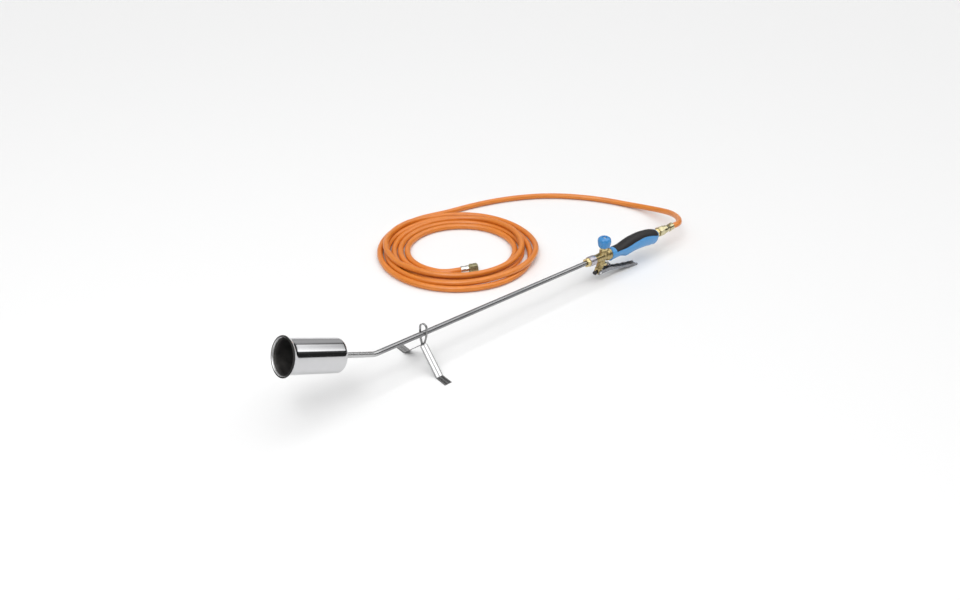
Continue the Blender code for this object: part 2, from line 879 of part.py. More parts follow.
def make_lever():
    """A pressed channel that opens up towards the handle, with lugs at its pivot."""
    pivot_x, pivot_z = LEVER_PIVOT
    lug = 5.0 * MM
    edge = [step * 4.0 * MM for step in range(29)] + [LEVER_END_X]
    lower = [(x, lever_lower_edge(x)) for x in edge]
    upper = [(x, z + between(LEVER_FLANGE, x / MM)[0] * MM) for x, z in lower]
    nose = []
    for step in range(9):
        angle = math.radians(110 + 185 * step / 8)
        nose.append((pivot_x + lug * math.cos(angle), pivot_z + lug * math.sin(angle)))
    outline = nose + lower + upper[::-1]
    inner = LEVER_HALF_WIDTH - LEVER_SHEET
    body = plate("lever", outline, -LEVER_HALF_WIDTH, -inner, "zinc", VALVE)
    other = plate("lever_far_side", outline, inner, LEVER_HALF_WIDTH, "zinc", VALVE)
    overlap = LEVER_SHEET / 2
    web_line = [(x, z) for x, z in lower if x >= 8.0 * MM]
    web_outline = web_line + [(x, z + LEVER_SHEET) for x, z in reversed(web_line)]
    web = plate("lever_web", web_outline, -inner - overlap, inner + overlap, "zinc", VALVE)
    tab = block(
        "lever_tab",
        (27.8 * MM, -4.5 * MM, -14.0 * MM),
        (29.0 * MM, 4.5 * MM, 1.2 * MM),
        "zinc",
        PLUNGER,
    )
    for piece in (web, tab, other):
        boolean(body, piece, "UNION")
    boolean(body, pin_hole("lever_bore"), "DIFFERENCE")
    reach = LEVER_HALF_WIDTH + GAP
    turned(
        "lever_pin",
        [
            (-reach - 1.2 * MM, 0),
            (-reach - 1.2 * MM, 2.9 * MM),
            (-reach, 3.2 * MM),
            (-reach, PIN_RADIUS),
            (reach, PIN_RADIUS),
            (reach, 3.2 * MM),
            (reach + 1.2 * MM, 2.9 * MM),
            (reach + 1.2 * MM, 0),
        ],
        "lance_steel",
        lever_frame() @ SIDEWAYS,
        segments=16,
    )


def make_pilot_screw():
    """The black screw that sets the pilot flame, low on the branch's front."""
    turned(
        "pilot_screw",
        [
            (-4.0 * MM, 0),
            (-4.0 * MM, 1.8 * MM),
            (0, 1.8 * MM),
            (0, 3.8 * MM),
            (1.0 * MM, 4.6 * MM),
            (5.4 * MM, 4.6 * MM),
            (6.4 * MM, 3.8 * MM),
            (6.4 * MM, 0),
        ],
        "seal_black",
        PILOT,
        segments=16,
    )


def handle_point(place, angle, inset):
    """A point of the handle's surface, or of a skin this far inside it."""
    top, bottom, half = between(HANDLE_OUTLINE, place / MM)
    rise = math.sin(angle)
    across = math.cos(angle)
    y = half * MM * math.copysign(abs(across) ** HANDLE_POWER, across)
    z = (top if rise > 0 else bottom) * MM * math.copysign(abs(rise) ** HANDLE_POWER, rise)
    shrink = 1 - inset / math.hypot(y, z)
    return Vector((place, y * shrink, z * shrink))


def edge_angle(place):
    """The angle above level at which the insert meets the handle body."""
    height = between(INSERT_EDGE, place / MM)[0]
    top = between(HANDLE_OUTLINE, place / MM)[0]
    return math.asin(min(0.95, max(0.0, height / top)) ** (1 / HANDLE_POWER))


def handle_places(start, end, extra=()):
    """Stations along the handle: the outline's rows, and the middles of wide steps."""
    rows = [row[0] * MM for row in HANDLE_OUTLINE]
    wide = 9.0 * MM
    middles = [(low + high) / 2 for low, high in zip(rows, rows[1:]) if high - low > wide]
    margin = 0.5 * MM
    kept = [place for place in rows + middles if start + margin < place < end - margin]
    return sorted({start, end, *extra, *kept})


def make_handle():
    """One moulding over the gas tube, with a pocket for the soft grip insert."""
    depth = INSERT_DEPTH + GAP
    places = handle_places(HANDLE_START, HANDLE_END, (INSERT_START, INSERT_END))
    upper_steps = 8
    lower_steps = 12
    bore = TUBE_RADIUS + 0.4 * MM
    bm = bmesh.new()

    def ring(place, sunk):
        edge = edge_angle(place)
        drop = depth if sunk else 0.0
        verts = [bm.verts.new(handle_point(place, edge, 0.0))]
        for step in range(upper_steps + 1):
            angle = edge + (math.pi - 2 * edge) * step / upper_steps
            verts.append(bm.verts.new(handle_point(place, angle, drop)))
        for step in range(lower_steps):
            angle = math.pi - edge + (math.pi + 2 * edge) * step / lower_steps
            verts.append(bm.verts.new(handle_point(place, angle, 0.0)))
        return verts

    rings = []
    for place in places:
        if place <= INSERT_START:
            rings.append(ring(place, False))
        if INSERT_START <= place <= INSERT_END:
            rings.append(ring(place, True))
        if place >= INSERT_END:
            rings.append(ring(place, False))
    count = len(rings[0])
    for first, second in zip(rings, rings[1:]):
        for step in range(count):
            after = (step + 1) % count
            bm.faces.new((first[step], first[after], second[after], second[step]))
    bore_rings = []
    for place, skin in ((HANDLE_START, rings[0]), (HANDLE_END, rings[-1])):
        ring_verts = []
        for vert in skin:
            angle = math.atan2(vert.co.z, vert.co.y)
            ring_verts.append(bm.verts.new((place, bore * math.cos(angle), bore * math.sin(angle))))
        bore_rings.append(ring_verts)
        for step in range(count):
            after = (step + 1) % count
            bm.faces.new((skin[step], skin[after], ring_verts[after], ring_verts[step]))
    first, second = bore_rings
    for step in range(count):
        after = (step + 1) % count
        bm.faces.new((first[step], first[after], second[after], second[step]))
    finish_mesh("handle_body", bm, "handle_blue", LANCE, sharp=50.0)

    side_gap = math.radians(1.4)
    places = handle_places(INSERT_START + GAP, INSERT_END - GAP)
    bm = bmesh.new()
    grids = []
    for inset in (0.0, INSERT_DEPTH):
        grid = []
        for place in places:
            edge = edge_angle(place) + side_gap
            row = []
            for step in range(upper_steps + 1):
                angle = edge + (math.pi - 2 * edge) * step / upper_steps
                row.append(bm.verts.new(handle_point(place, angle, inset)))
            grid.append(row)
        grids.append(grid)
    outer, under = grids
    for grid in grids:
        for first, second in zip(grid, grid[1:]):
            for step in range(upper_steps):
                bm.faces.new((first[step], first[step + 1], second[step + 1], second[step]))
    for row in (0, -1):
        for step in range(upper_steps):
            skins = (outer[row][step], outer[row][step + 1], under[row][step + 1], under[row][step])
            bm.faces.new(skins)
    for column in (0, -1):
        for step in range(len(places) - 1):
            first = (outer[step][column], outer[step + 1][column])
            bm.faces.new((*first, under[step + 1][column], under[step][column]))
    finish_mesh("grip_insert", bm, "grip_black", LANCE, sharp=50.0)


def make_inlet():
    """Gas tube through the handle, and the nipple that the hose screws on."""
    turned(
        "handle_gas_tube",
        [
            (499.1 * MM, 3.6 * MM),
            (499.1 * MM, TUBE_RADIUS),
            (645.7 * MM, TUBE_RADIUS),
            (645.7 * MM, 3.6 * MM),
        ],
        "lance_steel",
        LANCE,
        segments=12,
        closed=True,
    )
    turned(
        "inlet_nipple",
        [
            (646.0 * MM, 3.6 * MM),
            (646.0 * MM, TUBE_RADIUS),
            (650.9 * MM, TUBE_RADIUS),
            (650.9 * MM, 8.5 * MM, hex_radius),
            (660.4 * MM, 8.5 * MM, hex_radius),
            (660.4 * MM, 7.2 * MM),
            (INLET_END - 5.0 * MM, 7.2 * MM),
            (INLET_END - 5.0 * MM, 6.6 * MM),
            (INLET_END - 0.6 * MM, 6.6 * MM),
            (INLET_END, 6.0 * MM),
            (INLET_END, 3.6 * MM),
        ],
        "brass",
        LANCE,
        segments=12,
        closed=True,
    )
    turned(
        "hose_nut",
        [
            (660.9 * MM, 7.6 * MM),
            (660.9 * MM, 9.8 * MM),
            (662.0 * MM, 10.3 * MM, hex_radius),
            (674.6 * MM, 10.3 * MM, hex_radius),
            (675.6 * MM, 10.3 * MM),
            (681.0 * MM, 10.3 * MM),
            (683.6 * MM, 8.4 * MM),
            (683.6 * MM, 5.6 * MM),
            (681.9 * MM, 5.6 * MM),
            (681.9 * MM, 7.6 * MM),
        ],
        "yellow_zinc",
        LANCE,
        segments=12,
        closed=True,
    )
    turned(
        "hose_tail_piece",
        [
            (INLET_END + GAP, 2.6 * MM),
            (INLET_END + GAP, 6.6 * MM),
            (681.6 * MM, 6.6 * MM),
            (681.6 * MM, 5.2 * MM),
            (683.9 * MM, 5.2 * MM),
            (683.9 * MM, 8.8 * MM),
            (688.0 * MM, 9.0 * MM),
            (696.0 * MM, 7.4 * MM),
            (698.3 * MM, 7.2 * MM),
            (698.3 * MM, 2.6 * MM),
        ],
        "yellow_zinc",
        LANCE,
        segments=16,
        closed=True,
    )
    clamp = turned(
        "ear_clamp",
        [
            (CLAMP_START, HOSE_RADIUS + GAP),
            (CLAMP_START, 8.0 * MM),
            (CLAMP_START + 12.5 * MM, 8.0 * MM),
            (CLAMP_START + 12.5 * MM, HOSE_RADIUS + GAP),
        ],
        "yellow_zinc",
        LANCE,
        segments=20,
        closed=True,
    )
    for name, side in (("upper_ear", 1), ("lower_ear", -1)):
        low, high = sorted((side * 7.6 * MM, side * 11.4 * MM))
        corner = (CLAMP_START + 3.0 * MM, -3.2 * MM, low)
        ear = block(name, corner, (CLAMP_START + 9.5 * MM, 3.2 * MM, high), "yellow_zinc", LANCE)
        boolean(clamp, ear, "UNION")


def cord(name, points, radius, finish, sides):
    """A round bar or hose along a line of points, with its ends filled."""
    data = bpy.data.curves.new(name, "CURVE")
    data.dimensions = "3D"
    data.bevel_depth = radius
    data.bevel_resolution = sides
    data.use_fill_caps = True
    spline = data.splines.new("POLY")
    spline.points.add(len(points) - 1)
    for slot, point in zip(spline.points, points):
        slot.co = (*point, 1.0)
    data.materials.append(material(finish))
    made = bpy.data.objects.new(name, data)
    bpy.context.scene.collection.objects.link(made)
    return made


def make_hose():
    runs = [
        ("hose_lead", LEAD_ROUTE, HOSE_POINT_SPACING),
        ("hose_end_run", END_RUN_ROUTE, END_RUN_POINT_SPACING),
    ]
    for name, route, diameters in runs:
        line = [GROUND @ (Vector(point) * MM) for point in route]
        spacing = diameters * 2 * HOSE_RADIUS
        cord(name, smooth_curve(line, spacing), HOSE_RADIUS, "hose_orange", sides=3)
    round_off = 6.0 * MM
    turned(
        "hose_coil",
        [
            (0.0, COIL_INNER + 3.0 * MM),
            (0.0, COIL_OUTER - 3.0 * MM),
            (round_off, COIL_OUTER),
            (COIL_HEIGHT - round_off, COIL_OUTER),
            (COIL_HEIGHT, COIL_OUTER - round_off),
            (COIL_HEIGHT, COIL_INNER + round_off),
            (COIL_HEIGHT - round_off, COIL_INNER),
            (round_off, COIL_INNER),
        ],
        "hose_orange",
        GROUND @ Matrix.Translation((*COIL_CENTRE, 0)) @ UPRIGHT,
        segments=32,
        closed=True,
    )


def make_end_fitting():
    """Crimped ferrule, nipple and union nut for the gas regulator."""
    turned(
        "end_ferrule",
        [
            (0.0, 3.2 * MM),
            (0.0, 8.2 * MM),
            (1.2 * MM, 8.7 * MM),
            (5.0 * MM, 8.7 * MM),
            (6.5 * MM, 8.1 * MM),
            (11.0 * MM, 8.1 * MM),
            (12.5 * MM, 8.7 * MM),
            (17.0 * MM, 8.7 * MM),
            (18.2 * MM, 7.6 * MM),
            (18.2 * MM, 5.8 * MM),
            (16.0 * MM, 5.8 * MM),
            (16.0 * MM, 3.2 * MM),
        ],
        "zinc",
        END_FITTING,
        segments=16,
        closed=True,
    )
    turned(
        "end_nipple",
        [
            (16.3 * MM, 2.6 * MM),
            (16.3 * MM, 5.4 * MM),
            (22.6 * MM, 5.4 * MM),
            (22.6 * MM, 7.6 * MM),
            (26.0 * MM, 7.6 * MM),
            (30.0 * MM, 5.2 * MM),
            (31.4 * MM, 4.4 * MM),
            (31.4 * MM, 2.6 * MM),
        ],
        "brass",
        END_FITTING,
        segments=16,
        closed=True,
    )
    turned(
        "end_nut",
        [
            (19.2 * MM, 5.8 * MM),
            (19.2 * MM, 8.2 * MM),
            (20.6 * MM, 9.5 * MM, hex_radius),
            (27.0 * MM, 9.5 * MM, hex_radius),
            (27.8 * MM, 9.0 * MM, hex_radius),
            (28.6 * MM, 9.5 * MM, hex_radius),
            (37.6 * MM, 9.5 * MM, hex_radius),
            (38.6 * MM, 9.0 * MM),
            (38.6 * MM, 8.0 * MM),
            (22.2 * MM, 8.0 * MM),
            (22.2 * MM, 5.8 * MM),
        ],
        "yellow_zinc",
        END_FITTING,
        segments=12,
        closed=True,
    )


def main():
    clear_scene()
    make_burner()
    make_lance()
    make_stand()
    make_coupling()
    make_valve_body()
    make_regulator()
    make_plunger()
    make_lever()
    make_pilot_screw()
    make_handle()
    make_inlet()
    make_hose()
    make_end_fitting()


main()
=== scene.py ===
"""The looks of a roofing torch and its hose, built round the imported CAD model.

Every length is in metres, or in millimetres times MM. LANCE, VALVE, BURNER, PLUNGER, PILOT and
END_FITTING are the frames that the pieces are made in: x runs along each piece's own axis.
"""

import json
import math

import bmesh
import bpy
import numpy as np
from mathutils import Matrix, Vector


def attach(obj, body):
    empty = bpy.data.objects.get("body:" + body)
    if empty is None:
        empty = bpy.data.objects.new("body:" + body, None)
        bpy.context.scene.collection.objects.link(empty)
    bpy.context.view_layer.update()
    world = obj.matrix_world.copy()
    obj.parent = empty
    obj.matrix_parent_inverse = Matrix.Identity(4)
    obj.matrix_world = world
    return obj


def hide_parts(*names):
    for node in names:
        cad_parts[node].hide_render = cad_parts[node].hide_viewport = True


MM = 0.001

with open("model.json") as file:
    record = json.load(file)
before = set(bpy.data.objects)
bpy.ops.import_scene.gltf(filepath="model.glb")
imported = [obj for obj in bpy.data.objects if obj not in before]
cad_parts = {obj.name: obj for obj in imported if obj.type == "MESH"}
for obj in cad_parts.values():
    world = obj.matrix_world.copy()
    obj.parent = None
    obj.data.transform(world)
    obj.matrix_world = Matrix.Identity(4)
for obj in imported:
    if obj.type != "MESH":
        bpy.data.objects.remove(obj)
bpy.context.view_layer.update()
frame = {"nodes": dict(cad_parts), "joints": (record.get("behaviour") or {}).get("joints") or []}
JOINTS = {joint["name"]: joint for joint in frame["joints"]}

# Sizes that the pieces share with the CAD model
VALVE_X = 480.0 * MM
BEND_X = -102.2 * MM
BEND_RADIUS = 32.0 * MM
BEND_ANGLE = math.radians(22.52)
NECK_LENGTH = 79.5 * MM
LANCE_END_X = 447.0 * MM
LANCE_HEIGHT = 67.9 * MM
TUBE_RADIUS = 5.0 * MM
TUBE_BORE = 3.6 * MM
BRANCH_TILT = math.radians(16.5)
PLUNGER_DROP = 18.3 * MM
LEVER_HALF_WIDTH = 7.3 * MM
LEVER_SHEET = 1.2 * MM
HOSE_RADIUS = 6.65 * MM
NUT_CENTRE = 28.0 * MM


def frame_from(origin, along, up):
    """A frame at a point, with x along one direction and z as near as can be to another."""
    x = Vector(along).normalized()
    y = Vector(up).cross(x).normalized()
    z = x.cross(y)
    turn = Matrix((x, y, z)).transposed().to_4x4()
    return Matrix.Translation(origin) @ turn


KNOB_AXIS = JOINTS["knob_turn"]["axis"]
VALVE = frame_from(JOINTS["knob_turn"]["pos_m"], JOINTS["stand_slide"]["axis"], KNOB_AXIS)
LANCE = VALVE @ Matrix.Translation((-VALVE_X, 0, 0))
BURNER = (
    LANCE
    @ Matrix.Translation((BEND_X, 0, 0))
    @ Matrix.Rotation(BEND_ANGLE, 4, "Y")
    @ Matrix.Translation((-NECK_LENGTH, 0, 0))
)
GROUND = Matrix.Translation((LANCE.translation.x, 0, 0))
UPRIGHT = Matrix.Rotation(math.radians(-90), 4, "Y")
BRANCH = VALVE @ Matrix.Rotation(math.radians(90) + BRANCH_TILT, 4, "Y")
PLUNGER = VALVE @ Matrix.Rotation(BRANCH_TILT, 4, "Y") @ Matrix.Translation((0, 0, -PLUNGER_DROP))
PILOT = (
    VALVE
    @ Matrix.Translation((-18.2 * MM, 0, -32.7 * MM))
    @ Matrix.Rotation(math.radians(140), 4, "Y")
)
LEVER_PIN = frame_from(JOINTS["lever_squeeze"]["pos_m"], (0, 1, 0), KNOB_AXIS)
NUT_JOINT = JOINTS["end_nut_spin"]
END_FITTING = (
    frame_from(NUT_JOINT["pos_m"], NUT_JOINT["axis"], (0, 0, 1))
    @ Matrix.Translation((-NUT_CENTRE, 0, 0))
    @ Matrix.Rotation(math.radians(90), 4, "X")
)


# ---------------------------------------------------------------- camera, floor and light

def make_camera():
    camera = bpy.data.cameras.new("camera")
    camera.lens = 30.476
    camera.sensor_width = 36.0
    holder = bpy.data.objects.new("camera", camera)
    bpy.context.scene.collection.objects.link(holder)
    place = Vector((-0.8951, -1.0014, 0.9051))
    target = Vector((0.0261, 0.1042, 0.0))
    holder.location = place
    holder.rotation_euler = (target - place).to_track_quat("-Z", "Y").to_euler()
    bpy.context.scene.camera = holder
    bpy.context.scene.view_settings.view_transform = "Standard"


def make_floor():
    bpy.ops.mesh.primitive_plane_add(size=30.0, location=(0, 0, 0))
    floor = bpy.context.object
    floor.name = "floor"
    paint = Finish("floor_paint")
    paint.set(**{"Base Color": (0.86, 0.86, 0.86, 1.0), "Roughness": 0.8, "Specular IOR Level": 0.2})
    paint.bump(paint.noise(scale=9.0, detail=3.0), strength=0.02, distance=0.001)
    paint.on(floor)


def make_world():
    """A studio of long strips over the torch, seen only by what reflects it."""
    world = bpy.data.worlds.new("studio")
    bpy.context.scene.world = world
    world.use_nodes = True
    tree = world.node_tree
    tree.nodes.clear()

    def add(kind, **settings):
        node = tree.nodes.new(kind)
        for name, value in settings.items():
            setattr(node, name, value)
        return node

    place = add("ShaderNodeTexCoord")
    split = add("ShaderNodeSeparateXYZ")
    turn = add("ShaderNodeMath", operation="ARCTAN2")
    share = add("ShaderNodeMath", operation="MULTIPLY_ADD")
    share.inputs[1].default_value = 1 / math.tau
    share.inputs[2].default_value = 0.5
    ramp = add("ShaderNodeValToRGB")
    tree.links.new(place.outputs["Generated"], split.inputs[0])
    tree.links.new(split.outputs["Z"], turn.inputs[0])
    tree.links.new(split.outputs["Y"], turn.inputs[1])
    tree.links.new(turn.outputs[0], share.inputs[0])
    tree.links.new(share.outputs[0], ramp.inputs[0])
    # degrees round the torch from the far horizon, over the top, to the near one; brightness
    strips = [
        (-180, 0.72), (-3, 0.72), (0, 0.44), (30, 0.54), (58, 0.50), (63, 0.10), (67, 0.10), (71, 1.72),
        (137, 1.72), (141, 0.03), (150, 0.07), (156, 0.02), (178, 0.03), (180, 0.72),
    ]
    stops = ramp.color_ramp.elements
    while len(stops) < len(strips):
        stops.new(0.5)
    for stop, (angle, level) in zip(stops, strips):
        stop.position = 0.5 + angle / 360
        stop.color = (level, level, level, 1.0)
    # the studio's ends are dark, so that round ends are outlined
    ends = add("ShaderNodeMath", operation="ABSOLUTE")
    fade = add("ShaderNodeMapRange")
    fade.inputs["From Min"].default_value = 0.80
    fade.inputs["From Max"].default_value = 0.90
    fade.inputs["To Min"].default_value = 1.0
    fade.inputs["To Max"].default_value = 0.04
    tree.links.new(split.outputs["X"], ends.inputs[0])
    tree.links.new(ends.outputs[0], fade.inputs["Value"])
    studio = add("ShaderNodeBackground")
    tree.links.new(fade.outputs[0], studio.inputs["Strength"])
    backdrop = add("ShaderNodeBackground")
    backdrop.inputs["Color"].default_value = (0.90, 0.90, 0.90, 1.0)
    rays = add("ShaderNodeLightPath")
    mix = add("ShaderNodeMixShader")
    out = add("ShaderNodeOutputWorld")
    tree.links.new(ramp.outputs["Color"], studio.inputs["Color"])
    tree.links.new(rays.outputs["Is Camera Ray"], mix.inputs[0])
    tree.links.new(studio.outputs[0], mix.inputs[1])
    tree.links.new(backdrop.outputs[0], mix.inputs[2])
    tree.links.new(mix.outputs[0], out.inputs[0])


def make_light():
    """One soft lamp, high on the side that the torch is seen from."""
    place = Vector((-1.3, -0.7, 2.3))
    target = Vector((0.05, 0.15, 0.0))
    data = bpy.data.lights.new("key_light", "AREA")
    data.size = 0.9
    data.energy = 14.0
    lamp = bpy.data.objects.new("key_light", data)
    bpy.context.scene.collection.objects.link(lamp)
    lamp.location = place
    lamp.rotation_euler = (target - place).to_track_quat("-Z", "Y").to_euler()


# ---------------------------------------------------------------- materials

GRAIN_DEPTH = 0.0001


class Finish:
    """A procedural material, with short names for the nodes that it is made of."""

    def __init__(self, name):
        self.material = bpy.data.materials.new(name)
        self.material.use_nodes = True
        self.tree = self.material.node_tree
        self.shader = self.tree.nodes["Principled BSDF"]
        self.place = self.tree.nodes.new("ShaderNodeTexCoord")
        self.last_bump = None

    def set(self, **values):
        for name, value in values.items():
            self.shader.inputs[name].default_value = value
        return self

    def add(self, kind, **settings):
        node = self.tree.nodes.new(kind)
        for name, value in settings.items():
            setattr(node, name, value)
        return node

    def link(self, out, into):
        self.tree.links.new(out, into)

    def stretched(self, scale, source="Object"):
        """Texture coordinates, squeezed or stretched along each axis."""
        mapping = self.add("ShaderNodeMapping")
        mapping.inputs["Scale"].default_value = scale
        self.link(self.place.outputs[source], mapping.inputs["Vector"])
        return mapping.outputs[0]

    def noise(self, scale=1.0, detail=2.0, roughness=0.5, stretch=(1, 1, 1), source="Object"):
        node = self.add("ShaderNodeTexNoise")
        node.inputs["Scale"].default_value = scale
        node.inputs["Detail"].default_value = detail
        node.inputs["Roughness"].default_value = roughness
        self.link(self.stretched(stretch, source), node.inputs["Vector"])
        return node.outputs[0]

    def cells(self, scale, stretch=(1, 1, 1), source="Object"):
        node = self.add("ShaderNodeTexVoronoi")
        node.inputs["Scale"].default_value = scale
        self.link(self.stretched(stretch, source), node.inputs["Vector"])
        return node.outputs["Distance"]

    def ramp(self, value, stops):
        """Turn a value into a colour or a level by (position, colour or level) stops."""
        node = self.add("ShaderNodeValToRGB")
        ends = node.color_ramp.elements
        while len(ends) < len(stops):
            ends.new(0.5)
        for end, (position, colour) in zip(ends, stops):
            end.position = position
            end.color = (*colour, 1.0) if isinstance(colour, tuple) else (colour,) * 3 + (1.0,)
        self.link(value, node.inputs[0])
        return node.outputs[0]

    def along(self, axis, low, high, source="Object"):
        """0 to 1 between two places along an axis of the piece."""
        split = self.add("ShaderNodeSeparateXYZ")
        self.link(self.place.outputs[source], split.inputs[0])
        span = self.add("ShaderNodeMapRange")
        span.inputs["From Min"].default_value = low
        span.inputs["From Max"].default_value = high
        self.link(split.outputs[axis], span.inputs["Value"])
        return span.outputs[0]

    def mixed(self, share, first, second):
        """Mix two colours, each a constant or another node's output."""
        node = self.add("ShaderNodeMix", data_type="RGBA")
        self.link(share, node.inputs["Factor"])
        for name, colour in (("A", first), ("B", second)):
            socket = next(s for s in node.inputs if s.name == name and s.type == "RGBA")
            if isinstance(colour, tuple):
                socket.default_value = (*colour, 1.0)
            else:
                self.link(colour, socket)
        return next(s for s in node.outputs if s.type == "RGBA")

    def colour(self, output):
        self.link(output, self.shader.inputs["Base Color"])

    def roughness(self, value, low, high):
        self.link(self.ramp(value, [(0.3, low), (0.7, high)]), self.shader.inputs["Roughness"])

    def bump(self, height, strength, distance):
        node = self.add("ShaderNodeBump")
        node.inputs["Strength"].default_value = strength
        node.inputs["Distance"].default_value = distance
        self.link(height, node.inputs["Height"])
        if self.last_bump:
            self.link(self.last_bump, node.inputs["Normal"])
        self.last_bump = node.outputs[0]
        self.link(self.last_bump, self.shader.inputs["Normal"])

    def edge_wear(self, radius):
        """Bright where an edge is convex, from the bevelled normal against the true one."""
        bevel = self.add("ShaderNodeBevel", samples=4)
        bevel.inputs["Radius"].default_value = radius
        geometry = self.add("ShaderNodeNewGeometry")
        dot = self.add("ShaderNodeVectorMath", operation="DOT_PRODUCT")
        self.link(bevel.outputs[0], dot.inputs[0])
        self.link(geometry.outputs["Normal"], dot.inputs[1])
        return self.ramp(dot.outputs["Value"], [(0.80, 1.0), (0.995, 0.0)])

    def on(self, piece):
        piece.data.materials.clear()
        piece.data.materials.append(self.material)
        return piece


def turned_metal(name, light, dark, rough, grime=0.35):
    """Metal turned in a lathe: fine rings across the piece's x, stains, and bright edges."""
    made = Finish(name)
    made.set(Metallic=1.0)
    rings = made.noise(scale=1.0, detail=2.0, stretch=(2600.0, 40, 40))
    stains = made.noise(scale=160.0, detail=5.0, roughness=0.6)
    body = made.mixed(made.ramp(stains, [(0.35, 0.0), (0.75, grime * 2)]), light, dark)
    bright = tuple(min(1.0, 1.18 * part) for part in light)
    made.colour(made.mixed(made.edge_wear(0.4 * MM), body, bright))
    made.roughness(made.noise(scale=420.0, detail=3.0), rough * 0.8, rough * 1.35)
    made.bump(rings, strength=0.18, distance=GRAIN_DEPTH)
    return made


def polished_steel():
    made = Finish("polished_steel")
    made.set(Metallic=1.0)
    lines = made.noise(scale=1.0, detail=3.0, stretch=(1500, 22, 22))
    cloud = made.noise(scale=46.0, detail=4.0)
    made.colour(made.mixed(cloud, (0.63, 0.63, 0.64), (0.57, 0.57, 0.58)))
    made.roughness(lines, 0.05, 0.11)
    made.bump(lines, strength=0.03, distance=0.00008)
    made.bump(made.noise(scale=30.0, detail=1.0), strength=0.02, distance=0.0006)
    return made


def burnt_steel(name, light, dark):
    """The inside of the burner: dark oxide, with cloudy patches and a few sooty specks."""
    made = Finish(name)
    made.set(Metallic=0.55)
    cloud = made.noise(scale=85.0, detail=6.0, roughness=0.62)
    speckle = made.noise(scale=1400.0, detail=2.0)
    body = made.mixed(made.ramp(cloud, [(0.32, 0.0), (0.72, 1.0)]), dark, light)
    made.colour(made.mixed(made.ramp(speckle, [(0.58, 0.0), (0.72, 0.35)]), body, (0.16, 0.13, 0.10)))
    made.roughness(cloud, 0.42, 0.66)
    made.bump(speckle, strength=0.12, distance=GRAIN_DEPTH)
    return made


def painted_rim_shade():
    """The burner's rolled rim, painted near-black: painted shade, a dark outline round the burner's mouth."""
    made = Finish("painted_rim_shade")
    made.colour(made.mixed(made.noise(scale=420.0, detail=4.0), (0.012, 0.012, 0.012), (0.040, 0.038, 0.036)))
    made.set(**{"Roughness": 0.6, "Specular IOR Level": 0.15})
    made.bump(made.noise(scale=1500.0, detail=3.0), strength=0.1, distance=GRAIN_DEPTH)
    return made


def drawn_steel():
    """The lance: bright drawn tube with lengthwise die lines and faint stains."""
    made = Finish("drawn_steel")
    made.set(Metallic=1.0)
    lines = made.noise(scale=1.0, detail=3.0, stretch=(3, 900, 900))
    stains = made.noise(scale=1.0, detail=5.0, roughness=0.6, stretch=(14, 70, 70))
    dull = made.mixed(made.ramp(stains, [(0.35, 0.0), (0.7, 1.0)]), (0.31, 0.31, 0.315), (0.24, 0.24, 0.245))
    made.colour(made.mixed(made.along("X", -0.110, -0.085), (0.52, 0.52, 0.52), dull))
    made.roughness(stains, 0.20, 0.32)
    made.bump(lines, strength=0.10, distance=GRAIN_DEPTH)
    return made


def zinc_strip():
    """The stand: bright zinc plating, with painted shade on the feet: the near foot dark, the far foot
    duller.
    """
    made = Finish("zinc_strip")
    made.set(Metallic=1.0)
    spangle = made.noise(scale=900.0, detail=3.0, roughness=0.7)
    near_foot_shade = made.ramp(made.along("Y", -0.0505, -0.0518), [(0.0, 0.0), (1.0, 1.0)])
    far_foot_shade = made.ramp(made.along("Y", 0.0505, 0.0518), [(0.0, 0.0), (1.0, 1.0)])
    bright = made.mixed(spangle, (0.80, 0.80, 0.80), (0.68, 0.68, 0.69))
    dull = made.mixed(spangle, (0.44, 0.44, 0.44), (0.56, 0.56, 0.56))
    dark = made.mixed(spangle, (0.13, 0.13, 0.13), (0.22, 0.22, 0.22))
    # painted shade: the near foot gets a dark copy of the zinc and the far foot a duller one
    made.colour(made.mixed(near_foot_shade, made.mixed(far_foot_shade, bright, dull), dark))
    made.roughness(spangle, 0.20, 0.36)
    made.bump(spangle, strength=0.10, distance=GRAIN_DEPTH)
    return made


def pressed_zinc():
    """The lever: zinc-plated sheet with a fine rolled grain and worn edges."""
    made = Finish("pressed_zinc")
    made.set(Metallic=1.0)
    grain = made.noise(scale=1.0, detail=3.0, stretch=(120, 900, 900))
    cloud = made.noise(scale=240.0, detail=5.0, roughness=0.62)
    body = made.mixed(made.ramp(cloud, [(0.34, 0.0), (0.7, 1.0)]), (0.36, 0.36, 0.37), (0.22, 0.22, 0.23))
    made.colour(made.mixed(made.edge_wear(0.3 * MM), body, (0.60, 0.60, 0.60)))
    made.roughness(cloud, 0.24, 0.42)
    made.bump(grain, strength=0.15, distance=GRAIN_DEPTH)
    return made


def cast_brass():
    """The valve body: hot-pressed brass with a sandy skin and polished high spots."""
    made = Finish("cast_brass")
    made.set(Metallic=1.0)
    skin = made.noise(scale=1500.0, detail=4.0, roughness=0.6)
    cloud = made.noise(scale=150.0, detail=5.0, roughness=0.6)
    body = made.mixed(made.ramp(cloud, [(0.3, 0.0), (0.7, 1.0)]), (0.56, 0.44, 0.22), (0.28, 0.21, 0.09))
    made.colour(made.mixed(made.edge_wear(0.8 * MM), body, (0.88, 0.72, 0.40)))
    made.roughness(cloud, 0.22, 0.42)
    made.bump(skin, strength=0.22, distance=0.00015)
    return made


def moulded_plastic(name, light, dark, rough, grain):
    """Injection-moulded plastic with an even fine grain and slight flow marks."""
    made = Finish(name)
    flow = made.noise(scale=60.0, detail=3.0)
    made.colour(made.mixed(flow, light, dark))
    made.roughness(made.noise(scale=300.0, detail=3.0), rough * 0.85, rough * 1.2)
    made.set(**{"Coat Weight": 0.15, "Coat Roughness": 0.18})
    made.bump(made.noise(scale=2600.0, detail=2.0), strength=grain, distance=GRAIN_DEPTH)
    return made


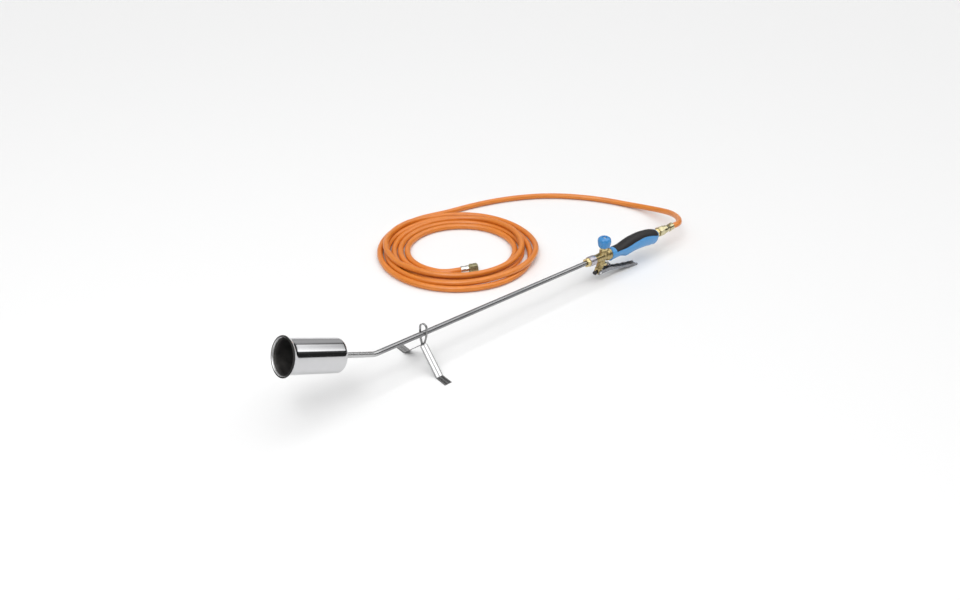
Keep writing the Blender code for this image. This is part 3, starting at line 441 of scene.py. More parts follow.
def grip_rubber():
    """Soft black grip with a fine pebbled skin."""
    made = Finish("grip_rubber")
    cloud = made.noise(scale=90.0, detail=4.0)
    made.colour(made.mixed(cloud, (0.006, 0.005, 0.006), (0.018, 0.016, 0.016)))
    made.roughness(cloud, 0.46, 0.60)
    made.set(**{"Sheen Weight": 0.04, "Sheen Roughness": 0.4, "Specular IOR Level": 0.4})
    made.bump(made.cells(1100.0), strength=0.35, distance=0.00025)
    return made


def black_part(name, rough):
    made = Finish(name)
    made.colour(made.mixed(made.noise(scale=300.0, detail=3.0), (0.012, 0.012, 0.013), (0.035, 0.034, 0.034)))
    made.roughness(made.noise(scale=600.0, detail=2.0), rough * 0.8, rough * 1.2)
    made.bump(made.noise(scale=1800.0, detail=2.0), strength=0.1, distance=GRAIN_DEPTH)
    return made


def hose_rubber():
    """Orange gas hose: extrusion lines along it, slight mottling, and handling marks."""
    made = Finish("hose_rubber")
    # the tube's own coordinates: x is the way along in metres, y is the way round from 0 to 1
    lines = made.noise(scale=1.0, detail=3.0, stretch=(1.2, 46, 1), source="UV")
    cloud = made.noise(scale=1.0, detail=4.0, roughness=0.6, stretch=(26, 5, 1), source="UV")
    scuffs = made.noise(scale=1.0, detail=5.0, roughness=0.7, stretch=(160, 26, 1), source="UV")
    body = made.mixed(made.ramp(cloud, [(0.3, 0.0), (0.72, 1.0)]), (0.78, 0.250, 0.030), (0.66, 0.185, 0.016))
    lined = made.mixed(made.ramp(lines, [(0.45, 0.0), (0.75, 0.35)]), body, (0.56, 0.145, 0.012))
    made.colour(made.mixed(made.ramp(scuffs, [(0.64, 0.0), (0.78, 0.30)]), lined, (0.84, 0.36, 0.12)))
    made.roughness(cloud, 0.26, 0.36)
    made.set(**{"Coat Weight": 0.12, "Coat Roughness": 0.3, "Specular IOR Level": 0.55})
    made.bump(lines, strength=0.16, distance=0.0003)
    made.bump(scuffs, strength=0.05, distance=GRAIN_DEPTH)
    return made


# ---------------------------------------------------------------- shapes

def new_object(name, bm, where):
    """A bmesh as an object, with its faces turned outwards."""
    bmesh.ops.remove_doubles(bm, verts=bm.verts, dist=1e-7)
    bmesh.ops.recalc_face_normals(bm, faces=bm.faces)
    mesh = bpy.data.meshes.new(name)
    bm.to_mesh(mesh)
    bm.free()
    made = bpy.data.objects.new(name, mesh)
    bpy.context.scene.collection.objects.link(made)
    made.matrix_world = where
    return made


def helper(bm, where):
    """An object that is only used to cut or join another."""
    return new_object("helper", bm, where)


def placed(name, bm, where, finish, body, sharp=35.0):
    """Turn a bmesh into a named piece that rides on a body."""
    piece = new_object(name, bm, where)
    piece.data.shade_smooth()
    piece.data.set_sharp_from_angle(angle=math.radians(sharp))
    finish.on(piece)
    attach(piece, body)
    return piece


def rounded(profile, radius, closed, steps=4):
    """Round each corner of a profile of (x, radius) points, as a tool or a die leaves it."""
    count = len(profile)
    made = []
    for index, point in enumerate(profile):
        here = Vector(point)
        open_end = not closed and index in (0, count - 1)
        if open_end:
            made.append(here)
            continue
        before = Vector(profile[index - 1])
        after = Vector(profile[(index + 1) % count])
        back = (before - here).length
        ahead = (after - here).length
        turn = (here - before).angle(after - here, 0.0)
        if turn < math.radians(4):
            made.append(here)
            continue
        reach = min(radius, 0.45 * back, 0.45 * ahead)
        start = here.lerp(before, reach / back)
        end = here.lerp(after, reach / ahead)
        for step in range(steps + 1):
            t = step / steps
            made.append(start.lerp(here, t).lerp(here.lerp(end, t), t))
    return [(point.x, max(0.0, point.y)) for point in made]


def stations(profile, closed, longest):
    """Split a profile's long steps, so that a shape that changes along it comes out fine."""
    pairs = list(zip(profile, profile[1:]))
    if closed:
        pairs.append((profile[-1], profile[0]))
    made = []
    for start, end in pairs:
        count = max(1, math.ceil(math.dist(start, end) / longest))
        for step in range(count):
            t = step / count
            made.append((start[0] + (end[0] - start[0]) * t, start[1] + (end[1] - start[1]) * t))
    if not closed:
        made.append(profile[-1])
    return made


def turned_mesh(profile, segments=96, closed=False, rounding=0.25, shape=None, longest=None):
    """A solid turned round local x from a profile of (x, radius) points in millimetres.

    shape(x, radius, angle) may change the radius, as flats and flutes do.
    """
    points = rounded(profile, rounding, closed)
    if longest:
        points = stations(points, closed, longest)
    bm = bmesh.new()
    rings = []
    for x, radius in points:
        if radius < 1e-6:
            rings.append([bm.verts.new((x * MM, 0, 0))])
            continue
        ring = []
        for step in range(segments):
            angle = math.tau * step / segments
            reach = shape(x, radius, angle) if shape else radius
            ring.append(bm.verts.new((x * MM, reach * MM * math.cos(angle), reach * MM * math.sin(angle))))
        rings.append(ring)
    pairs = list(zip(rings, rings[1:]))
    if closed:
        pairs.append((rings[-1], rings[0]))
    for first, second in pairs:
        for step in range(segments):
            after = (step + 1) % segments
            corners = [first[step % len(first)], first[after % len(first)]]
            corners += [second[after % len(second)], second[step % len(second)]]
            corners = list(dict.fromkeys(corners))
            if len(corners) > 2:
                bm.faces.new(corners)
    return bm


def hexed(across, start, end, round_corner=0.985):
    """A shape with six flats this far across between two places, one flat facing local y."""
    def shape(x, radius, angle):
        if not start <= x <= end or radius < 0.40 * across:
            return radius
        sector = math.radians(60)
        flat = across / 2 / math.cos((angle + sector / 2) % sector - sector / 2)
        corner = across / 2 / math.cos(sector / 2) * round_corner
        return min(radius, flat, corner)
    return shape


def ring_band(bm, first, second):
    """Join two closed rings of corners with four-sided faces."""
    for step in range(len(first)):
        after = (step + 1) % len(first)
        bm.faces.new((first[step], first[after], second[after], second[step]))


def outline_plate(outline, low_y, high_y):
    """A flat outline of (x, z) points, given a thickness along y."""
    bm = bmesh.new()
    low = [bm.verts.new((x, low_y, z)) for x, z in outline]
    high = [bm.verts.new((x, high_y, z)) for x, z in outline]
    bm.faces.new(low)
    bm.faces.new(high[::-1])
    ring_band(bm, low, high)
    return bm


def loft(rings, caps=True):
    """Join rings of points, in order, into a skin, with filled ends."""
    bm = bmesh.new()
    made = [[bm.verts.new(point) for point in ring] for ring in rings]
    for first, second in zip(made, made[1:]):
        ring_band(bm, first, second)
    if caps:
        bm.faces.new(made[0])
        bm.faces.new(made[-1][::-1])
    return bm


def baked(piece):
    """Apply a piece's modifiers, and drop the objects that they used."""
    used = [step.object for step in piece.modifiers if step.type == "BOOLEAN"]
    graph = bpy.context.evaluated_depsgraph_get()
    mesh = bpy.data.meshes.new_from_object(piece.evaluated_get(graph))
    piece.modifiers.clear()
    old = piece.data
    piece.data = mesh
    bpy.data.meshes.remove(old)
    for other in used:
        bpy.data.objects.remove(other, do_unlink=True)
    return piece


def boolean(target, other, operation):
    step = target.modifiers.new(operation.lower(), "BOOLEAN")
    step.object = other
    step.operation = operation
    step.solver = "EXACT"


def bevel(piece, width, segments=2, angle=30.0):
    step = piece.modifiers.new("edges", "BEVEL")
    step.width = width
    step.segments = segments
    step.limit_method = "ANGLE"
    step.angle_limit = math.radians(angle)
    step.harden_normals = False
    return piece


def smooth_steps(table, place):
    """Read a table of (place, value, ...) rows at a place, smoothly between the rows."""
    place = min(max(place, table[0][0]), table[-1][0])
    index = next(i for i in range(len(table) - 1) if place <= table[i + 1][0])
    low, high = table[index], table[index + 1]
    before = table[max(index - 1, 0)]
    after = table[min(index + 2, len(table) - 1)]
    width = high[0] - low[0]
    t = (place - low[0]) / width
    values = []
    for column in range(1, len(low)):
        left = (high[column] - before[column]) / (high[0] - before[0]) * width
        right = (after[column] - low[column]) / (after[0] - low[0]) * width
        values.append(
            low[column] * (2 * t**3 - 3 * t**2 + 1)
            + left * (t**3 - 2 * t**2 + t)
            + high[column] * (3 * t**2 - 2 * t**3)
            + right * (t**3 - t**2)
        )
    return values


# ---------------------------------------------------------------- the hose

# From the clamp along the floor to the coil
LEAD_ROUTE = [
    (0.6990, 0.0000, 0.05490),
    (0.7160, 0.0000, 0.05440),
    (0.7350, 0.0016, 0.05300),
    (0.7560, 0.0140, 0.04900),
    (0.7770, 0.0350, 0.04300),
    (0.7930, 0.0570, 0.03650),
    (0.8050, 0.0830, 0.02950),
    (0.8110, 0.1080, 0.02300),
    (0.8130, 0.1450, 0.01500),
    (0.8080, 0.1790, 0.01000),
    (0.7980, 0.2100, 0.00760),
    (0.7860, 0.2400, 0.00670),
    (0.7710, 0.2680, 0.00667),
    (0.7540, 0.2950, 0.00667),
    (0.7150, 0.3430, 0.00667),
    (0.6680, 0.3840, 0.00667),
    (0.6130, 0.4160, 0.00667),
    (0.5520, 0.4400, 0.00667),
    (0.4860, 0.4560, 0.00667),
    (0.4200, 0.4660, 0.00667),
]
# From the coil's inner side to the end fitting
END_RUN_ROUTE = [
    (0.2216, 0.2446, 0.0070),
    (0.2293, 0.2350, 0.0074),
    (0.2386, 0.2266, 0.0082),
    (0.2490, 0.2199, 0.0092),
    (0.2630, 0.2137, 0.0096),
]
COIL_CENTRE = (0.320, 0.300)
COIL_START = math.radians(52)
# Turns since the coil's far side, distance from its middle, height, both in millimetres.
# Each turn lies beside or on another, and climbs over it where they cross.
COIL_LIE = [
    (0.060, 184.0, 6.67),
    (0.120, 179.4, 6.67),
    (0.250, 178.0, 6.67),
    (0.500, 179.2, 6.67),
    (0.580, 180.0, 6.67),
    (0.640, 177.5, 6.67),
    (0.700, 171.5, 6.67),
    (0.750, 165.0, 6.67),
    (0.870, 159.5, 6.67),
    (1.000, 157.5, 6.67),
    (1.120, 159.0, 6.67),
    (1.250, 162.0, 6.67),
    (1.380, 163.5, 8.50),
    (1.500, 166.5, 14.00),
    (1.580, 172.5, 18.80),
    (1.650, 178.0, 19.70),
    (1.720, 180.0, 16.20),
    (1.800, 179.0, 9.00),
    (1.870, 178.3, 6.67),
    (1.950, 177.5, 6.67),
    (2.000, 175.5, 6.67),
    (2.060, 171.5, 8.50),
    (2.130, 168.0, 15.00),
    (2.250, 164.5, 19.80),
    (2.330, 155.5, 18.20),
    (2.400, 148.5, 19.90),
    (2.500, 145.5, 20.00),
    (2.750, 147.5, 20.00),
    (2.880, 147.0, 17.00),
    (3.000, 143.5, 12.50),
    (3.120, 144.6, 8.20),
    (3.250, 145.6, 6.67),
    (3.500, 145.6, 6.67),
    (3.750, 148.0, 6.67),
    (3.880, 139.5, 6.67),
    (4.000, 131.5, 6.67),
    (4.120, 130.4, 6.67),
    (4.250, 130.8, 6.67),
    (4.500, 131.6, 6.67),
    (4.750, 131.8, 6.67),
    (4.880, 122.0, 6.67),
    (5.000, 112.8, 6.67),
    (5.120, 112.2, 6.67),
    (5.250, 115.0, 6.67),
    (5.350, 115.5, 6.70),
    (5.420, 113.5, 7.00),
]
POINTS_PER_TURN = 60


def coil_points():
    """Points along the coil's turns."""
    first, last = COIL_LIE[0][0], COIL_LIE[-1][0]
    count = round((last - first) * POINTS_PER_TURN)
    points = []
    for step in range(count + 1):
        turns = first + (last - first) * step / count
        radius, height = smooth_steps(COIL_LIE, turns)
        angle = COIL_START + math.tau * turns
        x = COIL_CENTRE[0] + radius * MM * math.cos(angle)
        y = COIL_CENTRE[1] + radius * MM * math.sin(angle)
        points.append((x, y, height * MM))
    return points


def smooth_curve(points, spacing):
    """Points at an even spacing along a centripetal Catmull-Rom curve through the given ones."""
    points = [Vector(point) for point in points]
    ends = [2 * points[0] - points[1], *points, 2 * points[-1] - points[-2]]
    fine = [points[0]]
    for p0, p1, p2, p3 in zip(ends, ends[1:], ends[2:], ends[3:]):
        t1 = (p1 - p0).length ** 0.5
        t2 = t1 + (p2 - p1).length ** 0.5
        t3 = t2 + (p3 - p2).length ** 0.5
        for step in range(1, 17):
            t = t1 + (t2 - t1) * step / 16
            a1 = p0 * ((t1 - t) / t1) + p1 * (t / t1)
            a2 = p1 * ((t2 - t) / (t2 - t1)) + p2 * ((t - t1) / (t2 - t1))
            a3 = p2 * ((t3 - t) / (t3 - t2)) + p3 * ((t - t2) / (t3 - t2))
            b1 = a1 * ((t2 - t) / t2) + a2 * (t / t2)
            b2 = a2 * ((t3 - t) / (t3 - t1)) + a3 * ((t - t1) / (t3 - t1))
            fine.append(b1 * ((t2 - t) / (t2 - t1)) + b2 * ((t - t1) / (t2 - t1)))
    return evenly(fine, spacing)


def evenly(line, spacing):
    lengths = [0.0]
    for first, second in zip(line, line[1:]):
        lengths.append(lengths[-1] + (second - first).length)
    count = max(2, round(lengths[-1] / spacing))
    made = []
    place = 0
    for step in range(count + 1):
        wanted = lengths[-1] * step / count
        while place < len(line) - 2 and lengths[place + 1] < wanted:
            place += 1
        share = (wanted - lengths[place]) / max(1e-12, lengths[place + 1] - lengths[place])
        made.append(line[place].lerp(line[place + 1], share))
    return made


def settled(line, rounds=60):
    """Let the hose lie: stretches that press into each other move apart, and none sinks."""
    points = np.array([tuple(point) for point in line])
    count = len(points)
    step_length = np.linalg.norm(np.diff(points, axis=0), axis=1).mean()
    apart = int(3 * HOSE_RADIUS * 2 / step_length)
    index = np.arange(count)
    far = np.abs(index[:, None] - index[None, :]) > apart
    held = (index < 60) | (index > count - 12)
    wanted = 2 * HOSE_RADIUS + 0.05 * MM
    for _ in range(rounds):
        gap = points[:, None, :] - points[None, :, :]
        distance = np.linalg.norm(gap, axis=2)
        press = np.where(far & (distance < wanted), wanted - distance, 0.0)
        if press.max() < 0.03 * MM:
            break
        push = (gap / np.maximum(distance, 1e-6)[:, :, None]) * press[:, :, None]
        share = np.maximum(1, (press > 0).sum(axis=1))[:, None]
        move = 0.5 * push.sum(axis=1) / share
        move[held] = 0.0
        for _ in range(2):
            move[1:-1] = (move[:-2] + 2 * move[1:-1] + move[2:]) / 4
        points += move
        points[:, 2] = np.maximum(points[:, 2], HOSE_RADIUS + 0.02 * MM)
    return [Vector(point) for point in points]


def tube(name, line, radius, sides, bore, finish, body):
    """A hose as a mesh, with its coordinates along and round it, and open square ends."""
    bm = bmesh.new()
    places = bm.loops.layers.uv.new("UVMap")
    tangents = []
    for index in range(len(line)):
        ahead = line[min(index + 1, len(line) - 1)]
        behind = line[max(index - 1, 0)]
        tangents.append((ahead - behind).normalized())
    side = tangents[0].cross(Vector((0, 0, 1))).normalized()
    rings = []
    lengths = []
    run = 0.0
    for index, (point, tangent) in enumerate(zip(line, tangents)):
        side = (side - tangent * side.dot(tangent)).normalized()
        other = tangent.cross(side)
        if index:
            run += (point - line[index - 1]).length
        lengths.append(run)
        ring = []
        for step in range(sides):
            angle = math.tau * step / sides
            ring.append(bm.verts.new(point + radius * (side * math.cos(angle) + other * math.sin(angle))))
        rings.append(ring)
    for index in range(len(rings) - 1):
        for step in range(sides):
            after = (step + 1) % sides
            here, onward = rings[index], rings[index + 1]
            face = bm.faces.new((here[step], here[after], onward[after], onward[step]))
            spots = [(index, step), (index, step + 1), (index + 1, step + 1), (index + 1, step)]
            for loop, (row, column) in zip(face.loops, spots):
                loop[places].uv = (lengths[row], column / sides)
    for row, way in ((0, -1), (-1, 1)):
        centre, tangent = line[row], tangents[row]
        inner, deep = [], []
        for vert in rings[row]:
            out = (vert.co - centre) * (bore / radius)
            inner.append(bm.verts.new(centre + out))
            deep.append(bm.verts.new(centre + out - tangent * way * 2 * radius))
        for step in range(sides):
            after = (step + 1) % sides
            bm.faces.new((rings[row][step], rings[row][after], inner[after], inner[step]))
            bm.faces.new((inner[step], inner[after], deep[after], deep[step]))
        bm.faces.new(deep)
    return placed(name, bm, Matrix.Identity(4), finish, body, sharp=50.0)


def make_hose():
    origin = Vector((GROUND.translation.x, 0, 0))
    route = [Vector(point) + origin for point in LEAD_ROUTE]
    route += [Vector(point) + origin for point in coil_points()]
    route += [Vector(point) + origin for point in END_RUN_ROUTE]
    line = settled(smooth_curve(route, 6.0 * MM))
    line = smooth_curve(line, 3.0 * MM)
    hose = tube("hose", line, HOSE_RADIUS, 28, 3.15 * MM, hose_rubber(), "torch")
    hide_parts("hose_lead", "hose_coil", "hose_end_run")
    return hose, line


# ---------------------------------------------------------------- the burner

# Where the burner's rim changes its look: painted shade on the rim's outside, a painted highlight on the lip,
# and the burnt inside
RIM_SHADE_RADIUS = 31.7 * MM
RIM_SHADE_X = -100.6 * MM
LIP_HIGHLIGHT_X = -101.4 * MM
LINED_X = 1.3 * MM


def make_burner(body, steel):
    shell = [
        (1.4, 22.0), (2.6, 22.0), (3.0, 24.0), (3.0, 26.8), (2.0, 28.6), (0.0, 29.7), (-2.4, 30.0),
        (-94.0, 30.0), (-96.8, 30.3), (-99.2, 31.2), (-101.0, 32.4), (-102.0, 33.8), (-103.2, 34.5),
        (-104.4, 34.1), (-104.9, 33.0), (-104.5, 31.9), (-103.4, 31.2), (-101.0, 30.7), (-98.2, 29.3),
        (-94.4, 28.8), (-4.0, 28.8), (-0.8, 28.2), (0.8, 26.6), (1.4, 24.0),
    ]
    bm = turned_mesh(shell, segments=160, closed=True, rounding=0.9, longest=6.0)
    cup = placed("burner_cup", bm, BURNER, steel, body, sharp=60.0)
    lining = burnt_steel("burner_lining", (0.075, 0.072, 0.070), (0.030, 0.029, 0.029))
    cup.data.materials.append(lining.material)
    # painted shade: a near-black finish for the outside of the rolled rim, as a dark outline
    cup.data.materials.append(painted_rim_shade().material)
    # painted highlight: a lighter copy of the steel for the inner lip, a bright ring standing in for the
    # lip's highlight
    lip_highlight = turned_metal("painted_highlight_rim", (0.86, 0.86, 0.86), (0.72, 0.72, 0.72), 0.42)
    cup.data.materials.append(lip_highlight.material)
    lining_slot, rim_shade_slot, lip_highlight_slot = 1, 2, 3
    for face in cup.data.polygons:
        x, y, z = face.center
        facing = face.normal.y * y + face.normal.z * z
        radius = math.hypot(y, z)
        # painted shade: the rim's outside is coloured near-black
        if radius > RIM_SHADE_RADIUS and x < RIM_SHADE_X:
            face.material_index = rim_shade_slot
        # painted highlight: the inner lip gets the lighter steel
        elif facing < 0 and x < LIP_HIGHLIGHT_X:
            face.material_index = lip_highlight_slot
        elif facing < 0 and x < LINED_X:
            face.material_index = lining_slot
    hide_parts("burner_shell")

    plate = [(-8.9, 5.3), (-8.9, 28.5), (-10.1, 28.5), (-10.1, 5.3)]
    bm = turned_mesh(plate, closed=True, rounding=0.2)
    back = placed("burner_back", bm, BURNER, lining, body)
    drill(back, 6, 4.2, 18.0, -9.5)
    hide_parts("burner_back_plate")

    ring = [(-44.0, 9.0), (-44.0, 28.5), (-45.2, 28.5), (-45.2, 10.2), (-52.0, 10.2), (-52.0, 9.0)]
    bm = turned_mesh(ring, closed=True, rounding=0.3)
    holder = placed("flame_ring", bm, BURNER, lining, body)
    drill(holder, 8, 3.6, 19.0, -44.6)
    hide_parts("flame_holder")


def drill(piece, count, radius, circle, x):
    """A ring of round holes through a disc of the burner."""
    for step in range(count):
        angle = math.tau * (step + 0.37) / count
        place = (x * MM, circle * MM * math.cos(angle), circle * MM * math.sin(angle))
        bm = turned_mesh([(-3, 0), (-3, radius), (3, radius), (3, 0)], segments=40, rounding=0.0)
        boolean(piece, helper(bm, BURNER @ Matrix.Translation(place)), "DIFFERENCE")
    baked(piece)


def make_jet(body, brass):
    block = [
        (-10.5, 5.3), (-10.5, 8.3), (-11.4, 9.2), (-18.1, 9.2), (-19.0, 8.3), (-19.0, 7.4), (-36.0, 7.4),
        (-36.0, 3.6), (-30.0, 3.6), (-26.0, 3.6), (-26.0, 5.3),
    ]
    bm = turned_mesh(block, closed=True, shape=hexed(16.0, -19.0, -10.5), longest=1.0)
    nozzle = placed("nozzle", bm, BURNER, brass, body)
    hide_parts("nozzle_body")
    tip = [
        (-30.5, 0.8), (-30.5, 3.3), (-36.3, 3.3), (-36.3, 5.6), (-36.9, 6.2), (-40.0, 6.2), (-40.6, 5.4),
        (-42.5, 3.0), (-42.5, 0.8),
    ]
    bm = turned_mesh(tip, closed=True, shape=hexed(10.8, -40.7, -36.2), longest=0.8)
    jet = placed("jet", bm, BURNER, brass, body)
    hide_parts("gas_jet")


# ---------------------------------------------------------------- lance, stand and coupling

def make_lance(body, steel):
    reach = BEND_RADIUS * math.tan(BEND_ANGLE / 2)
    neck_end = NECK_LENGTH + 25.5 * MM
    path = [(LANCE_END_X, 0.0, 0.0)]
    steps = 60
    for step in range(1, steps):
        path.append((LANCE_END_X + (BEND_X + reach - LANCE_END_X) * step / steps, 0.0, 0.0))
    steps = 24
    for step in range(steps + 1):
        angle = BEND_ANGLE * step / steps
        x = BEND_X + reach - BEND_RADIUS * math.sin(angle)
        path.append((x, BEND_RADIUS * (1 - math.cos(angle)), angle))
    end = (BEND_X - neck_end * math.cos(BEND_ANGLE), neck_end * math.sin(BEND_ANGLE), BEND_ANGLE)
    path.append(end)
    sides = 64
    bm = bmesh.new()
    skins = []
    for radius in (TUBE_RADIUS, TUBE_BORE):
        rings = []
        for x, z, direction in path:
            ring = []
            for step in range(sides):
                angle = math.tau * step / sides
                y = radius * math.cos(angle)
                lift = radius * math.sin(angle)
                spot = (x + lift * math.sin(direction), y, z + lift * math.cos(direction))
                ring.append(bm.verts.new(spot))
            rings.append(ring)
        skins.append(rings)
    for rings in skins:
        for first, second in zip(rings, rings[1:]):
            ring_band(bm, first, second)
    outer, inner = skins
    for end in (0, -1):
        ring_band(bm, outer[end], inner[end])
    tube_piece = placed("lance", bm, LANCE, steel, body, sharp=50.0)
    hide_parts("lance_tube")


def corners_cut(rows):
    """The same path with each corner replaced by two gentler ones."""
    made = [rows[0]]
    for first, second in zip(rows, rows[1:]):
        for share in (0.25, 0.75):
            made.append(tuple(a + (b - a) * share for a, b in zip(first, second)))
    return made + [rows[-1]]


# The parts of the strip's section, by its points' numbers, that lie flat beside the crease
FLAT_PARTS = [[4, 5], [8, 9]]


def strip_section(half, crease):
    """The strip's cut face: (share of the width, height) points, from one edge over to the other."""
    edge = 0.5 * MM
    return [
        (-0.5, -half + edge * 0.6), (-0.5, half - edge), (-0.485, half - 0.4 * edge), (-0.455, half),
        (-0.36, half), (-0.06, half), (-0.02, half - crease), (0.02, half - crease), (0.06, half),
        (0.36, half), (0.455, half), (0.485, half - 0.4 * edge), (0.5, half - edge),
        (0.5, -half + edge * 0.6), (0.47, -half), (-0.47, -half),
    ]


def make_stand(steel, edge_shade_steel):
    """One sprung strip: near foot, leg, loop over the lance, leg, far foot."""
    middle, lean = -0.8 * MM, 4.2 * MM
    foot_inner, foot_length = 51.2 * MM, 26.0 * MM
    width, thickness, thin, shift = 15.3 * MM, 1.5 * MM, 4.0 * MM, 2.3 * MM
    half = thickness / 2
    side = TUBE_RADIUS + 1.6 * MM
    knee = 43.3 * MM
    arch_start = LANCE_HEIGHT + 13.0 * MM
    arch_rise = 7.6 * MM - half
    # guard rows stand close on both sides of a corner, so that only the corner is rounded
    near = [
        (-(foot_inner + foot_length), half, 0.0, width),
        (-(foot_inner + foot_length / 2), half, 0.0, width),
        (-(foot_inner + 1.6 * MM), half, 0.0, width),
        (-foot_inner, half, 0.0, width),
        (-(foot_inner - 1.3 * MM), half + 1.1 * MM, 0.0, width),
        (-27.0 * MM, 21.6 * MM, 0.0, width),
        (-4.0 * MM, knee - 2.1 * MM, 0.0, width),
        (-2.2 * MM, knee - 0.5 * MM, 0.0, width),
        (-1.4 * MM, knee + 0.2 * MM, -0.3 * MM, width - 1.6 * MM),
        (-1.0 * MM, knee + 1.1 * MM, -shift - 0.1 * MM, thin + 0.4 * MM),
        (0.6 * MM, knee + 3.3 * MM, -shift, thin),
        (3.6 * MM, knee + 10.3 * MM, -shift, thin),
        (side - 0.8 * MM, LANCE_HEIGHT - 7.0 * MM, -shift, thin),
        (side, LANCE_HEIGHT - 1.0 * MM, -shift, thin),
        (side, LANCE_HEIGHT + 6.0 * MM, -shift, thin),
        (side, arch_start - 1.5 * MM, -shift, thin),
    ]
    arch = []
    for step in range(1, 16):
        angle = math.pi * step / 16
        height = arch_start + arch_rise * math.sin(angle)
        arch.append((side * math.cos(angle), height, -shift * math.cos(angle), thin))
    far = [(-y, z, -along, wide) for y, z, along, wide in reversed(near)]
    rows = near + arch + far
    for _ in range(3):
        rows = corners_cut(rows)
    rings = []
    for index, (y, z, along, wide) in enumerate(rows):
        before = rows[max(index - 1, 0)]
        after = rows[min(index + 1, len(rows) - 1)]
        way = Vector((after[0] - before[0], after[1] - before[1])).normalized()
        up = Vector((0.0, -way.y, way.x))
        centre = Vector((middle + along + lean * z / LANCE_HEIGHT, y, max(z, half)))
        section = strip_section(half, 0.22 * MM if wide > 0.7 * width else 0.0)
        rings.append([centre + Vector((share * wide, 0, 0)) + up * lift for share, lift in section])
    strip = placed("stand_strip", loft(rings), GROUND, steel, "stand", sharp=28.0)
    strip.data.materials.append(edge_shade_steel.material)
    # painted shade: the strip's rolled edges and its crease get a darker grey metal, as the grey lines that
    # shade puts along them; its flat parts stay bright
    for face in strip.data.polygons:
        spots = sorted((face.vertices[0] % len(section), face.vertices[2] % len(section)))
        if len(face.vertices) == 4 and spots not in FLAT_PARTS:
            face.material_index = 1
    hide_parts("stand")


def make_coupling(body, brass, grey):
    nut = [
        (427.5, 5.3), (427.5, 8.2), (428.8, 9.9), (434.6, 9.9), (435.2, 9.2), (435.2, 7.4), (429.4, 7.4),
        (428.9, 5.3),
    ]
    shape = hexed(17.0, 427.5, 435.0)
    piece = placed("gland_nut", turned_mesh(nut, 120, True, 0.25, shape, 0.8), LANCE, brass, body)
    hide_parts("lance_gland_nut")
    sleeve = [
        (435.6, 5.3), (435.6, 10.0), (436.4, 10.8), (438.9, 10.8), (439.2, 10.5), (439.7, 10.5),
        (440.0, 10.8), (451.6, 10.8), (452.8, 9.8), (452.8, 3.0), (448.0, 3.0), (448.0, 5.3),
    ]
    piece = placed("sleeve", turned_mesh(sleeve, 120, True, 0.2), LANCE, grey, body)
    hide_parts("coupling_sleeve")


# ---------------------------------------------------------------- valve, knob and lever

def make_valve_body(body, brass):
    """Barrel, neck, branch and lever lug, pressed in one piece with soft corners."""
    barrel = [
        (-26.9, 0), (-26.9, 8.2), (-26.0, 9.0), (-18.0, 8.8), (-10.0, 9.3), (-3.0, 10.2), (3.0, 10.2),
        (6.6, 10.0), (8.2, 12.4), (9.6, 13.4), (17.6, 13.4), (18.7, 12.5), (18.7, 0),
    ]
    valve = placed("valve_casting", turned_mesh(barrel, 96, False, 0.5), VALVE, brass, body)
    neck = [(0, 0), (0, 9.4), (9.0, 8.9), (12.6, 8.6), (14.0, 8.6), (14.8, 8.0), (14.8, 0)]
    boolean(valve, helper(turned_mesh(neck, 80, False, 0.3), VALVE @ UPRIGHT), "UNION")
    branch = [(0, 0), (0, 8.4), (20.0, 8.0), (25.0, 8.0), (26.7, 6.6), (26.9, 0)]
    boolean(valve, helper(turned_mesh(branch, 80, False, 0.6), BRANCH), "UNION")
    half = LEVER_HALF_WIDTH - LEVER_SHEET - 0.35 * MM
    lug = [(-15.6, -24.0), (-16.4, -34.0)]
    for step in range(13):
        angle = math.radians(190 + 160 * step / 12)
        lug.append((-11.0 + 5.4 * math.cos(angle), -35.0 + 5.4 * math.sin(angle)))
    lug.append((-3.0, -24.0))
    bm = outline_plate([(x * MM, z * MM) for x, z in lug], -half, half)
    boolean(valve, helper(bm, VALVE), "UNION")
    melt = valve.modifiers.new("melt", "REMESH")
    melt.mode = "VOXEL"
    melt.voxel_size = 0.36 * MM
    soft = valve.modifiers.new("soft", "SMOOTH")
    soft.factor = 0.5
    soft.iterations = 10
    baked(valve)
    cuts = [
        ([(11, 0), (11, 5), (16, 5), (16, 0)], VALVE @ UPRIGHT),
        ([(7.0, 0), (7.0, 6.5), (20, 6.5), (20, 0)], PLUNGER),
        ([(-1.0, 0), (-1.0, 3.8), (8.0, 3.8), (8.0, 0)], PLUNGER),
        ([(-9, 0), (-9, 2.1), (9, 2.1), (9, 0)], LEVER_PIN),
        ([(-6, 0), (-6, 2.1), (3, 2.1), (3, 0)], PILOT),
        ([(-0.3, 0), (-0.3, 4.9), (7.0, 4.9), (7.0, 0)], PILOT),
    ]
    for profile, where in cuts:
        boolean(valve, helper(turned_mesh(profile, 48, False, 0.0), where), "DIFFERENCE")
    baked(valve)
    valve.data.shade_smooth()
    valve.data.set_sharp_from_angle(angle=math.radians(40))
    brass.on(valve)
    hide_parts("valve_body")


